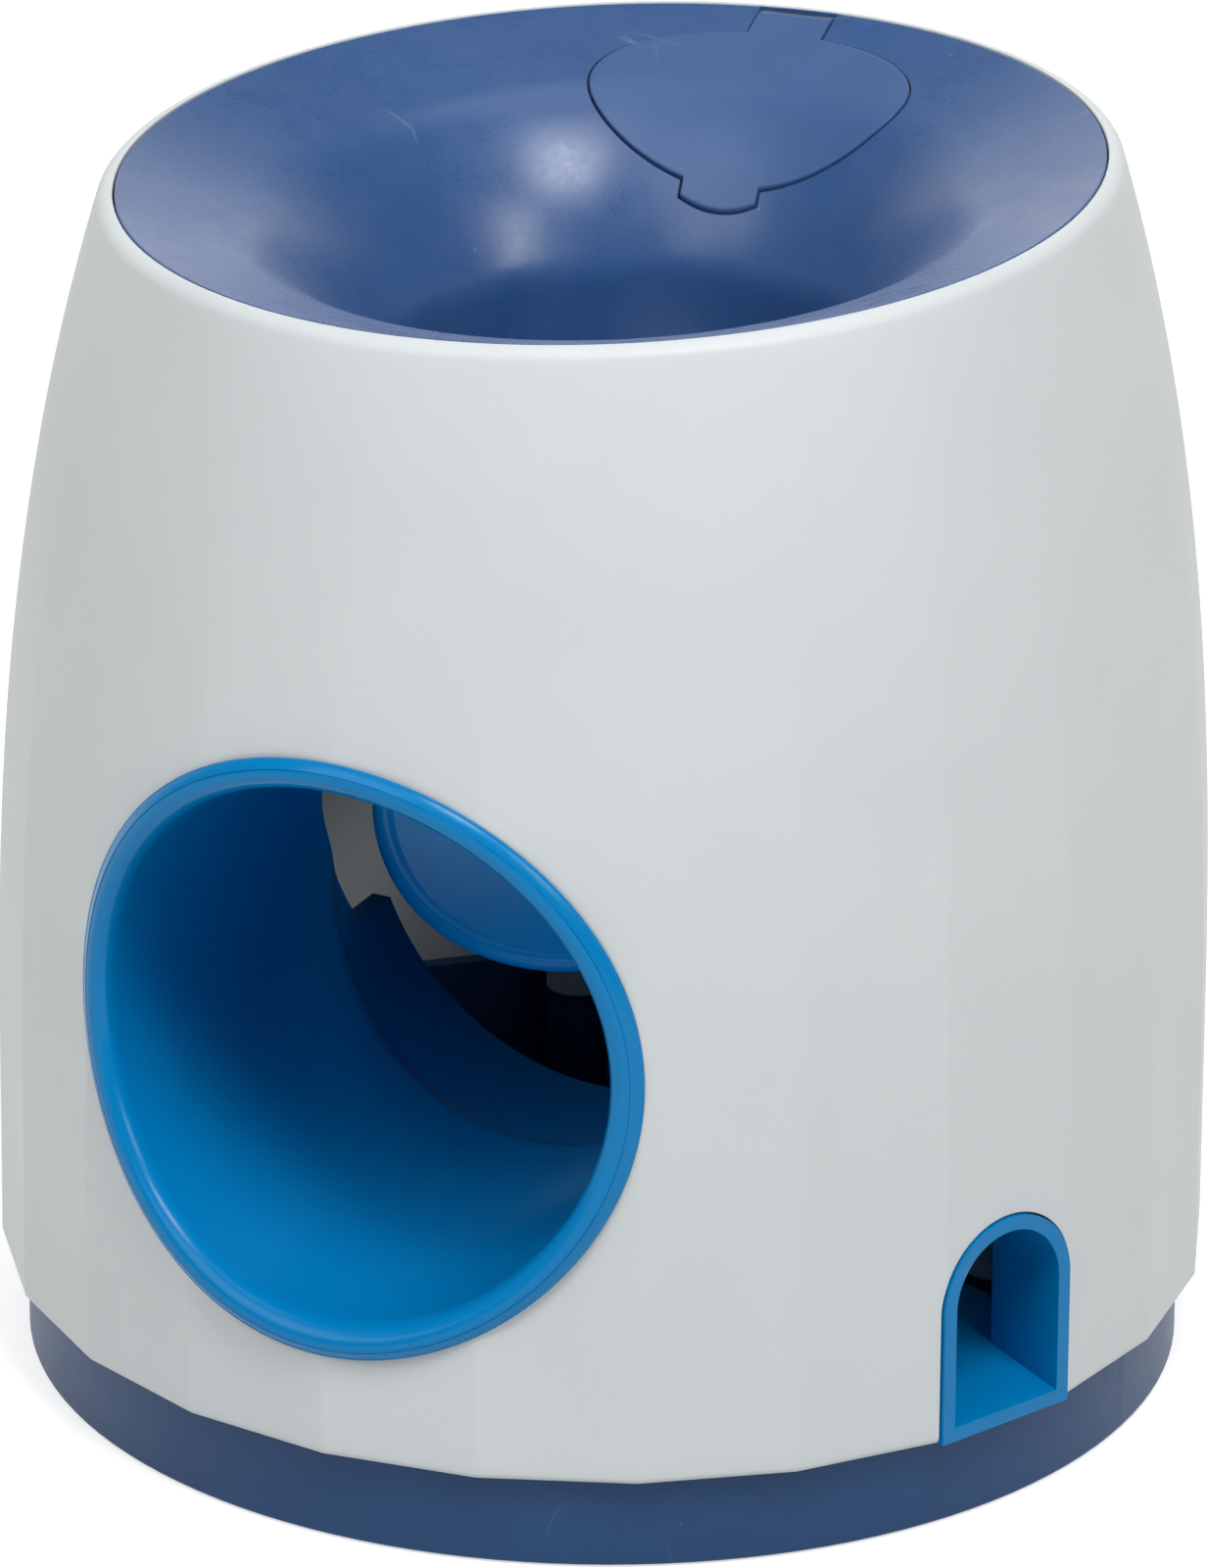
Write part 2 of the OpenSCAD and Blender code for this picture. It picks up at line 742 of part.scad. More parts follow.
module counterweight_arm() {
    reach = norm([weight_y, weight_z]);
    color(NAVY) along_x(-arm_out, -arm_in)
        translate([pivot_y, pivot_z])
            rotate(arm_angle)
                difference() {
                    union() {
                        circle(arm_half + 0.5);
                        translate([reach, 0]) circle(weight_r + 2);
                        translate([0, -arm_half]) square([reach, 2 * arm_half]);
                    }
                    circle(shaft_r + fit / 2);
                    translate([reach, 0]) circle(weight_r + fit / 2);
                }
}

module counterweight() {
    color(STEEL) along_x(-arm_in - weight_length - 0.5, -arm_in - 0.5)
        translate([pivot_y + weight_y, pivot_z + weight_z])
            circle(weight_r);
}

// Retaining clip that snaps into the shaft's groove, open at one side
module shaft_clip() {
    color(STEEL) along_x(clip_at, clip_at + clip_width)
        translate([pivot_y, pivot_z])
            difference() {
                circle(shaft_r + 2.2);
                circle(shaft_r - 0.6 + fit);
                translate([0, -shaft_r + 1]) square([10, 2 * shaft_r - 2]);
            }
}

module bush(side) {
    color("white") difference() {
        union() {
            pivot_bar(bush_r, min(side * (ear_in - 0.5), side * bush_end), max(side * (ear_in - 0.5), side * bush_end));
            pivot_bar(bush_r + 1.5, min(side * (ear_in - bush_flange), side * ear_in),
                max(side * (ear_in - bush_flange), side * ear_in));
        }
        pivot_bar(shaft_r + fit, -2 * bush_end, 2 * bush_end);
    }
}

module bush_left() bush(-1);

module bush_right() bush(1);

module stop_bumper() {
    color(RUBBER) along_x(-arm_out, -ear_out - fit)
        translate([stop_y, stop_z])
            difference() {
                circle(bumper_r);
                circle(peg_r + fit);
            }
}

// The hopper's space seen from the side, from above and from the front, grown by a wall
module hopper_side(wall) {
    more = wall * 3.3;
    slot_top = round_pivot(slot_from - more, gate_radius + gate_gap);
    slot_low = round_pivot(slot_to + more, gate_radius + gate_gap);
    front = hopper_front + hopper_wall - wall;
    rear = hopper_rear + wall;
    along_x(-body_radius, body_radius)
        polygon([
            [front, hopper_top],
            [front, slot_top[1] + (slot_top[0] - front) * tan(hopper_floor_slope)],
            slot_top,
            round_pivot(slot_from - more, gate_radius - 2),
            round_pivot(slot_to + more, gate_radius - 2),
            slot_low,
            [rear, slot_low[1] + 14],
            [rear, hopper_top]
        ]);
}

module hopper_plan(wall) {
    intersection() {
        cylinder(r = hopper_rear + wall, h = hopper_top);
        translate([-hopper_half - wall, 0, 0]) cube([2 * (hopper_half + wall), body_radius, hopper_top]);
    }
}

module hopper_face(wall) {
    taper_top = lug_z - screw_web;
    taper_low = pivot_z + gate_radius - 2;
    wide = hopper_half + wall;
    slim = slot_half + wall;
    rotate([90, 0, 0])
        translate([0, 0, -body_radius])
            linear_extrude(body_radius)
                polygon([[-wide, hopper_top], [-wide, taper_top], [-slim, taper_low], [-slim, 0],
                    [slim, 0], [slim, taper_low], [wide, taper_top], [wide, hopper_top]]);
}

module hopper_space(wall) {
    intersection() {
        hopper_side(wall);
        hopper_plan(wall);
        hopper_face(wall);
    }
}

// Ear that carries one end of the shaft
module bearing_ear() {
    front = hopper_front + 0.8;
    polygon([[front, lug_z + 4], [lug_y + 6, lug_z + 4], [lug_y + 2, pivot_z + 20], [pivot_y + 9, pivot_z - 4],
        [stop_y + 4, stop_z - 4], [stop_y - 3, stop_z - 4], [pivot_y - 7, pivot_z - 6],
        [pivot_y - 7, pivot_z + 6], [front, pivot_z + 24]]);
}

module treat_hopper() {
    under_sheet = bell(sheet + 0.4);
    ledge_end = hopper_front + 3;
    under_ledge = concat([for (p = bell(ledge_under)) if (p[0] > ledge_end) p],
        [[ledge_end, wall_start[1] - (wall_start[0] - ledge_end) * tan(wall_slope) - ledge_under / cos(wall_slope)]]);
    color(WHITE) difference() {
        union() {
            hopper_space(hopper_wall);
            for (side = [-1, 1]) {
                along_x(min(side * ear_in, side * ear_out), max(side * ear_in, side * ear_out)) bearing_ear();
                translate([side * lug_x, lug_y, lug_z - screw_web]) cylinder(r = boss_r, h = screw_web);
                translate([side * (lug_x + hopper_half) / 2, lug_y, lug_z - screw_web / 2])
                    cube([lug_x - hopper_half, 2 * boss_r, screw_web], center = true);
            }
            along_x(-arm_out, -ear_out) translate([stop_y, stop_z]) circle(peg_r);
        }
        hopper_space(0);
        on_rim() rotate_extrude() polygon(concat(under_sheet,
            [[0, -throat_depth], [0, 20], [body_radius, 20], [body_radius, under_sheet[0][1]]]));
        on_rim() rotate_extrude() polygon(concat(under_ledge,
            [[ledge_end, 20], [body_radius, 20], [body_radius, under_ledge[0][1]]]));
        pivot_bar(gate_radius + gate_gap, -gate_half - 1, gate_half + 1);
        pivot_bar(bush_r + fit / 2, -2 * bush_end, 2 * bush_end);
        for (side = [-1, 1])
            translate([side * lug_x, lug_y, lug_z - screw_web - 1])
                cylinder(r = screw_r + 2 * fit, h = screw_web + 2);
    }
}

module hopper_screws() screws([[-lug_x, lug_y], [lug_x, lug_y]], lug_z);

// Floor height of the slide at an azimuth
function slide_z(azimuth) = slide_end + (slide_top - slide_end) * (azimuth - slide_to) / (slide_from - slide_to);

// Section of the slide: a channel with two side walls
slide_section = [
    [slide_inner - slide_wall, slide_side], [slide_inner - slide_wall, -slide_floor],
    [slide_outer + slide_wall, -slide_floor], [slide_outer + slide_wall, slide_side],
    [slide_outer, slide_side], [slide_outer, 0], [slide_inner, 0], [slide_inner, slide_side]
];

module treat_slide() {
    color(WHITE) difference() {
        union() {
            loft([for (i = [0 : slide_rings])
                let (azimuth = slide_from + i * (slide_to - slide_from) / slide_rings)
                [for (s = slide_section)
                    let (p = polar(azimuth, s[0])) [p[0], p[1], slide_z(azimuth) + s[1]]]]);
            for (a = slide_legs)
                let (p = polar(a, slide_radius))
                translate([p[0], p[1], pad_top])
                    cylinder(r = boss_r - 1.4, h = slide_z(a) - slide_floor + 0.7 - pad_top);
        }
        pilots(slide_joints, pad_top);
    }
}

module slide_screws() screws(slide_joints, pad_top);

// Pillar of the base, drilled from below for a screw and its head
module pillars(points, joint) {
    for (p = points)
        translate([p[0], p[1], base_floor - 1])
            cylinder(r = boss_r, h = joint - base_floor + 1);
}

module pillar_holes(points, joint) {
    for (p = points)
        translate([p[0], p[1], -1]) {
            cylinder(r = screw_r + 2 * fit, h = joint + 2);
            cylinder(r = screw_head_r + clear, h = joint - screw_web + 1);
        }
}

module base_pan() {
    color(NAVY) difference() {
        union() {
            rotate_extrude()
                polygon(concat(
                    [[0, foot_height]],
                    [for (a = [0 : 15 : 90]) [base_radius - base_edge * (1 - sin(a)), foot_height + base_edge * (1 - cos(a))]],
                    [[base_radius, base_top], [base_radius - base_wall, base_top],
                        [base_radius - base_wall, base_floor], [0, base_floor]]
                ));
            pillars(shell_joints, shell_joint_z);
            pillars(tube_joints, tube_joint_z);
            pillars(outlet_joints, pad_top);
            pillars(slide_joints, pad_top);
        }
        pillar_holes(shell_joints, shell_joint_z);
        pillar_holes(tube_joints, tube_joint_z);
        pillar_holes(outlet_joints, pad_top);
        pillar_holes(slide_joints, pad_top);
        translate([0, 0, -1])
            difference() {
                cylinder(r = foot_outer + seam, h = foot_thickness + 1);
                translate([0, 0, -1]) cylinder(r = foot_outer - foot_width - seam, h = foot_thickness + 3);
            }
        along_outlet(outlet_inner, body_radius + 10)
            translate([-outlet_width / 2 - clear, shell_bottom - clear])
                square([outlet_width + 2 * clear, 20]);
    }
}

module base_screws() screws(shell_joints, shell_joint_z);

module foot_ring() {
    color(RUBBER) difference() {
        cylinder(r = foot_outer, h = foot_thickness);
        translate([0, 0, -1]) cylinder(r = foot_outer - foot_width, h = foot_thickness + 2);
    }
}

body_shell();
funnel();
hatch_lid();
hatch_pin();
ball_tube();
tube_screws();
treat_outlet();
outlet_screws();
ball_tray();
tray_shaft();
treat_gate();
counterweight_arm();
counterweight();
shaft_clip();
bush_left();
bush_right();
stop_bumper();
treat_hopper();
hopper_screws();
treat_slide();
slide_screws();
base_pan();
base_screws();
foot_ring();
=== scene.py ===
"""Looks of the ball-drop puzzle toy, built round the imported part."""
import math

import bmesh
import bpy
import numpy as np
from mathutils import Matrix, Vector


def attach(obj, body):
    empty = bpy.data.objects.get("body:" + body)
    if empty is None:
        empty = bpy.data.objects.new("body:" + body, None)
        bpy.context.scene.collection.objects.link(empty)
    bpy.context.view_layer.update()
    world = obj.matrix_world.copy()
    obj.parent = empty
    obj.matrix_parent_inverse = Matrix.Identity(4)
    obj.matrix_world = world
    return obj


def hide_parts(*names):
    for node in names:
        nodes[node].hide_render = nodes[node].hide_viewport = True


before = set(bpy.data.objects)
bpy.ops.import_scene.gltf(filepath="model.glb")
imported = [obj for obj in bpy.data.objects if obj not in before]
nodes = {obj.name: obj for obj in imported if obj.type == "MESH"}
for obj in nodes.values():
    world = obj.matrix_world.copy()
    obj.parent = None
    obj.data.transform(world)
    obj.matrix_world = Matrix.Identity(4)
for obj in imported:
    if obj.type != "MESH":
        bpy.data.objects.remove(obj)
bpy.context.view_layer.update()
MM = 0.001

# Sizes are in millimetres and angles in degrees
SEAM = 0.1
CLEAR = 0.3

# Body shell
FACETS = 24
FACET_ANGLE = 360 / FACETS
FACET_STEPS = (0, 0.3, 0.8, 2.4, 4.6, 7.5, 10.4, 12.6, 14.2, 14.7)
BODY_RADIUS = 85.3
BODY_HEIGHT = 173.8
FACET_DISTANCE = BODY_RADIUS * math.cos(math.radians(FACET_ANGLE / 2))
SHELL_BOTTOM = 14.1
BELLY = 40
BARREL_POWER = 2.66
SHELL_WALL = 2.3
SHELL_EDGE = 1.2
SHELL_JOINT = SHELL_BOTTOM + 7.4
RIM_TILT = 2.78
RIM_TILT_AZIMUTH = 116.6
HIGH_SIDE = (math.sin(math.radians(RIM_TILT_AZIMUTH)), -math.cos(math.radians(RIM_TILT_AZIMUTH)))
RIM_RADIUS = 68.3
LIP_WIDTH = 1.9
LIP_ROUND = LIP_WIDTH - 0.2
LIP_DROP = 0.1
TOP_RADIUS = RIM_RADIUS + LIP_WIDTH
BOSS_AZIMUTHS = (30, 150, 210, 330)
BOSS_CIRCLE = 68
BOSS_RADIUS = 4.5
BOSS_HEIGHT = 14
BOSS_PILOT = 9
BOSS_SIDES = 32
PILOT_RADIUS = 1.55
PILOT_SIDES = 24
RIB_LENGTH = 15.2
RIB_HALF = 1.15
RIB_EDGE = 0.8

# Funnel: a flat band, a bend, a wall that steepens and a bend into the throat
SHEET = 2.2
SHEET_UPRIGHT = SHEET / 0.945
RIM_EDGE = RIM_RADIUS - SEAM
FUNNEL_EDGE = ((0, -0.38), (-0.07, -0.2), (-0.25, -0.13))
FACE_START = 0.4
UNDER_START = 0.2
BAND_SLOPE = 19
BAND_FALL = math.tan(math.radians(BAND_SLOPE))
BAND_WIDTH = 15.5
BEND_RADIUS = 16
WALL_START = 44
WALL_END = 67
THROAT_RADIUS = 34.5
THROAT_BEND = 12
THROAT_DEPTH = 48
SINES = [math.sin(math.radians(a)) for a in (BAND_SLOPE, WALL_START, WALL_END)]
WALL_SPAN = (RIM_RADIUS - BAND_WIDTH - THROAT_RADIUS - BEND_RADIUS * (SINES[1] - SINES[0])
             - THROAT_BEND * (1 - SINES[2]))
WALL_RADIUS = WALL_SPAN / (SINES[2] - SINES[1])
FUNNEL_SIDES = 288
SEAT_DEPTH = 3.5
SEAT_WIDTH = 3
FLANGE_TOP = SEAT_DEPTH + SEAM
FLANGE_THICKNESS = 2
FLANGE_RADIUS = RIM_RADIUS - SEAM - SEAT_WIDTH - 0.2
HOOK_AZIMUTHS = (0, 60, 300)
HOOK_HALF_ANGLE = 6
HOOK_SHEET = 2
HOOK_BARB = 1.8
HOOK_TIP = 2.6
HOOK_SINK = 0.6
LUG_PLACE = (34, 50)
LUG_RADIUS = 3.5
LUG_LOW = 146.1
LUG_SINK = 1.5
LUG_PILOT = (145, 155)

# Hatch
HATCH_AZIMUTH = 183.4
LID_HALF_WIDTH = 23.8
LID_HALF_LENGTH = 13.4
LID_SETBACK = 4
LID_CENTRE = LID_HALF_LENGTH + LID_SETBACK
LID_PITCH = BAND_SLOPE + 9
LID_SHEET = SHEET - 0.5
LID_PROUD = 0.25
LID_GAP = 0.4
LID_EDGE = 0.3
LID_SNUG = 0.3
LID_SNUG_START = 0.1
LID_SNUG_RUN = 0.5
FINGER_TAB = 11.4
FINGER_SHIFT = 1.1
FINGER_REACH = 2.8
FINGER_ROUND = 16
FINGER_END = LID_CENTRE + LID_HALF_LENGTH + FINGER_REACH
FINGER_TOP = FINGER_END - LID_CENTRE - FINGER_ROUND
LEDGE = 1.8
LEDGE_INNER = 36
LEDGE_SHEET = (0.2, 1.3)
LEDGE_HINGE_GAP = 6
OPENING_HALF = 14
TOOL_HALF = 20
HINGE_RADIUS = RIM_RADIUS - 1.7
HINGE_DEPTH = 2
HINGE_TAB = 11
HINGE_ROOM = 2.3
BARREL_R = 1.3
PIN_R = 0.65
KNUCKLE_R = 1.5
KNUCKLE_FRONT = 0.8
KNUCKLE_BACK_ARC = (94, 200)
KNUCKLE_LOW_ARC = (215, 380)
STRIP_ROOM = 1.37
STRIP_TOP = 0.2
STRIP_LOW = 0.68

# Ball tube
TUBE_HEIGHT = 72.5
TUBE_BORE = 36.8
TUBE_WALL = 2.6
TUBE_OUTER = TUBE_BORE + TUBE_WALL
TUBE_END = -0.5
TUBE_CUT = (42, 128)
TUBE_BOSS_Y = (-14, -52)
TUBE_BOSS_SPAN = (-8.9, 1.3)
MOUTH_GROWTH = 1.4
BEAD_OUTER = 43
BEAD_CREST = 41.1
BEAD_HEIGHT = 1.2
BEAD_ROLL = 4
BEAD_SLOPE = 2.9
BEAD_CREASE = 0.12
CREASE_STEPS = ((-0.14, 0), (-0.05, 0.05), (0, 0.14), (0.05, 0.05))
BEAD_UNDERCUT = 0.42
UNDERCUT_STEPS = ((0.08, 0.02), (0.9, 0.06))
UNDERCUT_END = 1.1
FLANK_START = math.radians(26)
FLANK_END = math.radians(60)
RIDGE = 0.8
RIDGE_REST = 0.5
RIDGE_Y = -14
RIDGE_REAR = 4
RIDGE_FRONT = 5
RIDGE_LEAN = 0.28
TROUGH_EDGE = 14.4
TROUGH_REAR = 20
CROSS_HALF = 86

# Treat outlet
OUTLET_AZIMUTH = 67.5
OUTLET_WIDTH = 23.1
OUTLET_HEIGHT = 31
OUTLET_WALL = 2.1
OUTLET_DEPTH = 40
OUTLET_RISE = 6.6
OUTLET_PROUD = 0.4
OUTLET_CUT = (60, 95)
SILL_HEIGHT = 2.1
FRAME_DEPTH = 13.5
PAN_LEAN = math.tan(math.radians(16.5))
PAN_SHIFT = 0.6
PAN_FEET = (5, 16)
PAN_FOOT_RADIUS = 3.5
PAN_FOOT_LOW = 10
SOFT_EDGE = 0.35
SOFT_EDGE_LIMIT = 35
SOFT_EDGE_STEPS = 3

# Ball tray
TRAY_RADIUS = 32.7
TRAY_HEIGHT = 85
TRAY_SLOPE = 35
TRAY_DEPTH = 7
TRAY_SHEET = 2.2
TRAY_RIM = 1.4
TRAY_UNDER_EDGE = 0.6
PIVOT = (36.0863, 100.0559)
SHAFT_BORE = 2.525
HUB_R = 4.7
FORK_IN = 15.5
FORK_OUT = 19.3
ARM_TOP = (0.6, 1)
ARM_FOOT = (-2, -4.5)


# Frames
def turn(degrees, axis):
    return Matrix.Rotation(math.radians(degrees), 4, axis)


ON_RIM = Matrix.Translation((0, 0, BODY_HEIGHT)) @ turn(RIM_TILT, Vector((HIGH_SIDE[1], -HIGH_SIDE[0], 0)))
HINGE_PLACE = Matrix.Translation((0, -HINGE_RADIUS, -HINGE_DEPTH))
LID_IN_RIM = turn(HATCH_AZIMUTH, "Z") @ HINGE_PLACE @ turn(-LID_PITCH, "X")
ON_LID = ON_RIM @ LID_IN_RIM
ON_HINGE = ON_LID @ turn(90, "Y")
ON_TRAY = Matrix.Translation((0, 0, TRAY_HEIGHT)) @ turn(TRAY_SLOPE, "X")
ALONG_X = Matrix(((0, 0, 1, 0), (1, 0, 0, 0), (0, 1, 0, 0), (0, 0, 0, 1)))
AT_OUTLET = turn(OUTLET_AZIMUTH, "Z")
# X across the outlet, Y up and Z outwards
ON_OUTLET = AT_OUTLET @ turn(90, "X")


# Mesh tools
def place(points, matrix):
    """Points in millimetres, moved by a matrix."""
    m = np.array(matrix)
    return np.asarray(points, float) @ m[:3, :3].T + m[:3, 3]


def mesh_object(name, points, faces):
    """Object of a closed mesh, from millimetres, with its normals outwards."""
    mesh = bpy.data.meshes.new(name)
    mesh.from_pydata((np.asarray(points) * MM).tolist(), [], faces)
    bm = bmesh.new()
    bm.from_mesh(mesh)
    bmesh.ops.recalc_face_normals(bm, faces=bm.faces)
    bm.to_mesh(mesh)
    bm.free()
    obj = bpy.data.objects.new(name, mesh)
    bpy.context.scene.collection.objects.link(obj)
    return obj


def loft(name, rings, looped=True):
    """Closed mesh through rings of points; open ends get flat caps."""
    rings = np.asarray(rings, float)
    n, m = rings.shape[:2]
    faces = []
    for i in range(n if looped else n - 1):
        a, b = i * m, (i + 1) % n * m
        for j in range(m):
            k = (j + 1) % m
            faces.append((a + j, a + k, b + k, b + j))
    if not looped:
        faces.append(tuple(range(m)))
        faces.append(tuple(range((n - 1) * m, n * m)))
    return mesh_object(name, rings.reshape(-1, 3), faces)


def swung(section, angle, matrix):
    """Points of a (radius, height) section, swung round a frame's axis from its front."""
    r, z = section[:, 0], section[:, 1]
    return place(np.stack([r * np.sin(angle), -r * np.cos(angle), z], 1), matrix)


def revolve(name, profile, segments, matrix):
    """Solid of revolution of a closed (radius, height) profile that stays off the axis."""
    p = np.asarray(profile, float)
    return loft(name, [swung(p, t, matrix) for t in np.arange(segments) * 2 * np.pi / segments])


def prism(name, outline, low, high, matrix):
    """Solid between two heights over a flat outline."""
    o = np.asarray(outline, float)
    rings = [place(np.column_stack([o, np.full(len(o), h)]), matrix) for h in (low, high)]
    return loft(name, rings, looped=False)


def rod(name, radius, low, high, matrix, segments=64):
    """Round bar along a frame's Z."""
    a = np.arange(segments) * 2 * np.pi / segments
    return prism(name, np.stack([radius * np.cos(a), radius * np.sin(a)], 1), low, high, matrix)


def cut(obj, other, operation="DIFFERENCE"):
    """Boolean of two closed meshes; the second one is used up."""
    m = obj.modifiers.new("cut", "BOOLEAN")
    m.operation = operation
    m.solver = "EXACT"
    m.object = other
    settle(obj)
    bpy.data.objects.remove(other)
    return obj


def settle(obj):
    """Applies an object's modifiers."""
    graph = bpy.context.evaluated_depsgraph_get()
    mesh = bpy.data.meshes.new_from_object(obj.evaluated_get(graph))
    old = obj.data
    obj.modifiers.clear()
    obj.data = mesh
    bpy.data.meshes.remove(old)


def soften(obj):
    """Rounds the sharp edges of a mesh."""
    m = obj.modifiers.new("bevel", "BEVEL")
    m.width = SOFT_EDGE * MM
    m.segments = SOFT_EDGE_STEPS
    m.limit_method = "ANGLE"
    m.angle_limit = math.radians(SOFT_EDGE_LIMIT)
    settle(obj)


def shade(obj, angle=30):
    """Smooth shading, with sharp edges over an angle."""
    obj.data.shade_smooth()
    obj.data.set_sharp_from_angle(angle=math.radians(angle))


def finish_piece(obj, body, slot, material, *stands_for):
    """Gives a piece its material and its body, and hides the nodes that it stands for; the slot is not used.
    """
    obj.data.materials.clear()
    obj.data.materials.append(material)
    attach(obj, body)
    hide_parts(*stands_for)


# Materials
MIDDLE = (0.3, 0.7)
CLOUD_SCALE = 34
CLOUD_DETAIL = 5
GRAIN_DETAIL = 3
GRAIN_HEIGHT = 0.00006
SMOOTHER = 0.0175
ROUGHER = 0.0525
METAL_GRAIN = 900
METAL_BUMP = 0.2
SHEEN_ROUGHNESS = 0.4
SHEEN_TINT = (0.7, 0.75, 1, 1)
MARK_COLOUR = (0.42, 0.48, 0.62, 1)
HAIR_BEND_SCALE = 45
HAIR_BEND = (0.02, 0.02, 0.02)
HAIR_CELLS = 26
HAIR_EDGE = (0.004, 0.001)
HAIR_PATCHES = 38
HAIR_PATCH_EDGE = (0.60, 0.68)
DUST_CELLS = 260
DUST_EDGE = (0.09, 0.04)
DUST_RARITY = (0.955, 0.96)
RUB_SCALE = 130
RUB_DETAIL = 8
RUB_ROUGHNESS = 0.7
RUB_HAZE = 0.08
RUB_DULLS = 0.4


def link(tree, a, b):
    tree.links.new(a, b)


def texture(tree, kind, where, scale, **settings):
    """Texture node over some coordinates."""
    node = tree.nodes.new(kind)
    node.inputs["Scale"].default_value = scale
    for key, value in settings.items():
        setattr(node, key, value)
    link(tree, where, node.inputs["Vector"])
    return node


def noise(tree, where, scale, detail=2):
    node = texture(tree, "ShaderNodeTexNoise", where, scale)
    node.inputs["Detail"].default_value = detail
    return node


def between(tree, socket, span, low=0, high=1):
    """Runs from low to high while a socket goes from one end of a span to the other."""
    node = tree.nodes.new("ShaderNodeMapRange")
    node.inputs["From Min"].default_value = span[0]
    node.inputs["From Max"].default_value = span[1]
    node.inputs["To Min"].default_value = low
    node.inputs["To Max"].default_value = high
    link(tree, socket, node.inputs["Value"])
    return node.outputs["Result"]


def combine(tree, operation, a, b):
    """Sum, product or other operation on a socket and a socket or number."""
    node = tree.nodes.new("ShaderNodeMath")
    node.operation = operation
    link(tree, a, node.inputs[0])
    if isinstance(b, float):
        node.inputs[1].default_value = b
    else:
        link(tree, b, node.inputs[1])
    return node.outputs[0]


def ramp(tree, socket, stops):
    """Colour over the values of a socket, from stops of (position, colour)."""
    node = tree.nodes.new("ShaderNodeValToRGB")
    while len(node.color_ramp.elements) < len(stops):
        node.color_ramp.elements.new(0.5)
    for element, (position, colour) in zip(node.color_ramp.elements, stops):
        element.position = position
        element.color = (*colour, 1)
    link(tree, socket, node.inputs["Fac"])
    return node.outputs["Color"]


def scuffed(tree, where, colour, wear):
    """Colour with a few hair scratches, dust specks and a rubbed haze, and the share that is rubbed."""
    moved = tree.nodes.new("ShaderNodeVectorMath")
    moved.operation = "MULTIPLY_ADD"
    moved.inputs[1].default_value = HAIR_BEND
    link(tree, noise(tree, where, HAIR_BEND_SCALE).outputs["Color"], moved.inputs[0])
    link(tree, where, moved.inputs[2])
    cells = texture(tree, "ShaderNodeTexVoronoi", moved.outputs[0], HAIR_CELLS, feature="DISTANCE_TO_EDGE")
    patches = noise(tree, where, HAIR_PATCHES)
    hair = combine(tree, "MULTIPLY", between(tree, cells.outputs["Distance"], HAIR_EDGE),
                   between(tree, patches.outputs["Fac"], HAIR_PATCH_EDGE))
    dots = texture(tree, "ShaderNodeTexVoronoi", where, DUST_CELLS)
    rare = tree.nodes.new("ShaderNodeSeparateColor")
    link(tree, dots.outputs["Color"], rare.inputs[0])
    dust = combine(tree, "MULTIPLY", between(tree, dots.outputs["Distance"], DUST_EDGE),
                   between(tree, rare.outputs[0], DUST_RARITY))
    rubbed = noise(tree, where, RUB_SCALE, RUB_DETAIL)
    rubbed.inputs["Roughness"].default_value = RUB_ROUGHNESS
    share = between(tree, rubbed.outputs["Fac"], MIDDLE)
    haze = combine(tree, "MULTIPLY", share, RUB_HAZE)
    marks = combine(tree, "MAXIMUM", combine(tree, "MAXIMUM", hair, dust), haze)
    mix = tree.nodes.new("ShaderNodeMix")
    mix.data_type = "RGBA"
    link(tree, combine(tree, "MULTIPLY", marks, wear), mix.inputs["Factor"])
    link(tree, colour, mix.inputs[6])
    mix.inputs[7].default_value = MARK_COLOUR
    return mix.outputs[2], share


def plastic(name, low, high, rough, grain, bump, specular=0.5, sheen=0.0, wear=0.0):
    """Moulded plastic: clouded colour, fine eroded grain, uneven gloss and, where worn, its marks."""
    mat = bpy.data.materials.new(name)
    mat.use_nodes = True
    tree = mat.node_tree
    bsdf = tree.nodes["Principled BSDF"]
    where = tree.nodes.new("ShaderNodeTexCoord").outputs["Object"]
    cloud = noise(tree, where, CLOUD_SCALE, CLOUD_DETAIL)
    colour = ramp(tree, cloud.outputs["Fac"], [(MIDDLE[0], low), (MIDDLE[1], high)])
    fine = noise(tree, where, grain, GRAIN_DETAIL)
    gloss = between(tree, fine.outputs["Fac"], MIDDLE, rough - SMOOTHER, rough + ROUGHER)
    if wear:
        colour, rubbed = scuffed(tree, where, colour, wear)
        gloss = combine(tree, "ADD", gloss, combine(tree, "MULTIPLY", rubbed, RUB_DULLS * wear))
    link(tree, colour, bsdf.inputs["Base Color"])
    link(tree, gloss, bsdf.inputs["Roughness"])
    relief = tree.nodes.new("ShaderNodeBump")
    relief.inputs["Strength"].default_value = bump
    relief.inputs["Distance"].default_value = GRAIN_HEIGHT
    link(tree, fine.outputs["Fac"], relief.inputs["Height"])
    link(tree, relief.outputs["Normal"], bsdf.inputs["Normal"])
    bsdf.inputs["Specular IOR Level"].default_value = specular
    if sheen:
        bsdf.inputs["Sheen Weight"].default_value = sheen
        bsdf.inputs["Sheen Roughness"].default_value = SHEEN_ROUGHNESS
        bsdf.inputs["Sheen Tint"].default_value = SHEEN_TINT
    return mat


def metal(name, low, high, rough):
    """Bare metal with a fine grain."""
    mat = plastic(name, low, high, rough, METAL_GRAIN, METAL_BUMP)
    mat.node_tree.nodes["Principled BSDF"].inputs["Metallic"].default_value = 1
    return mat


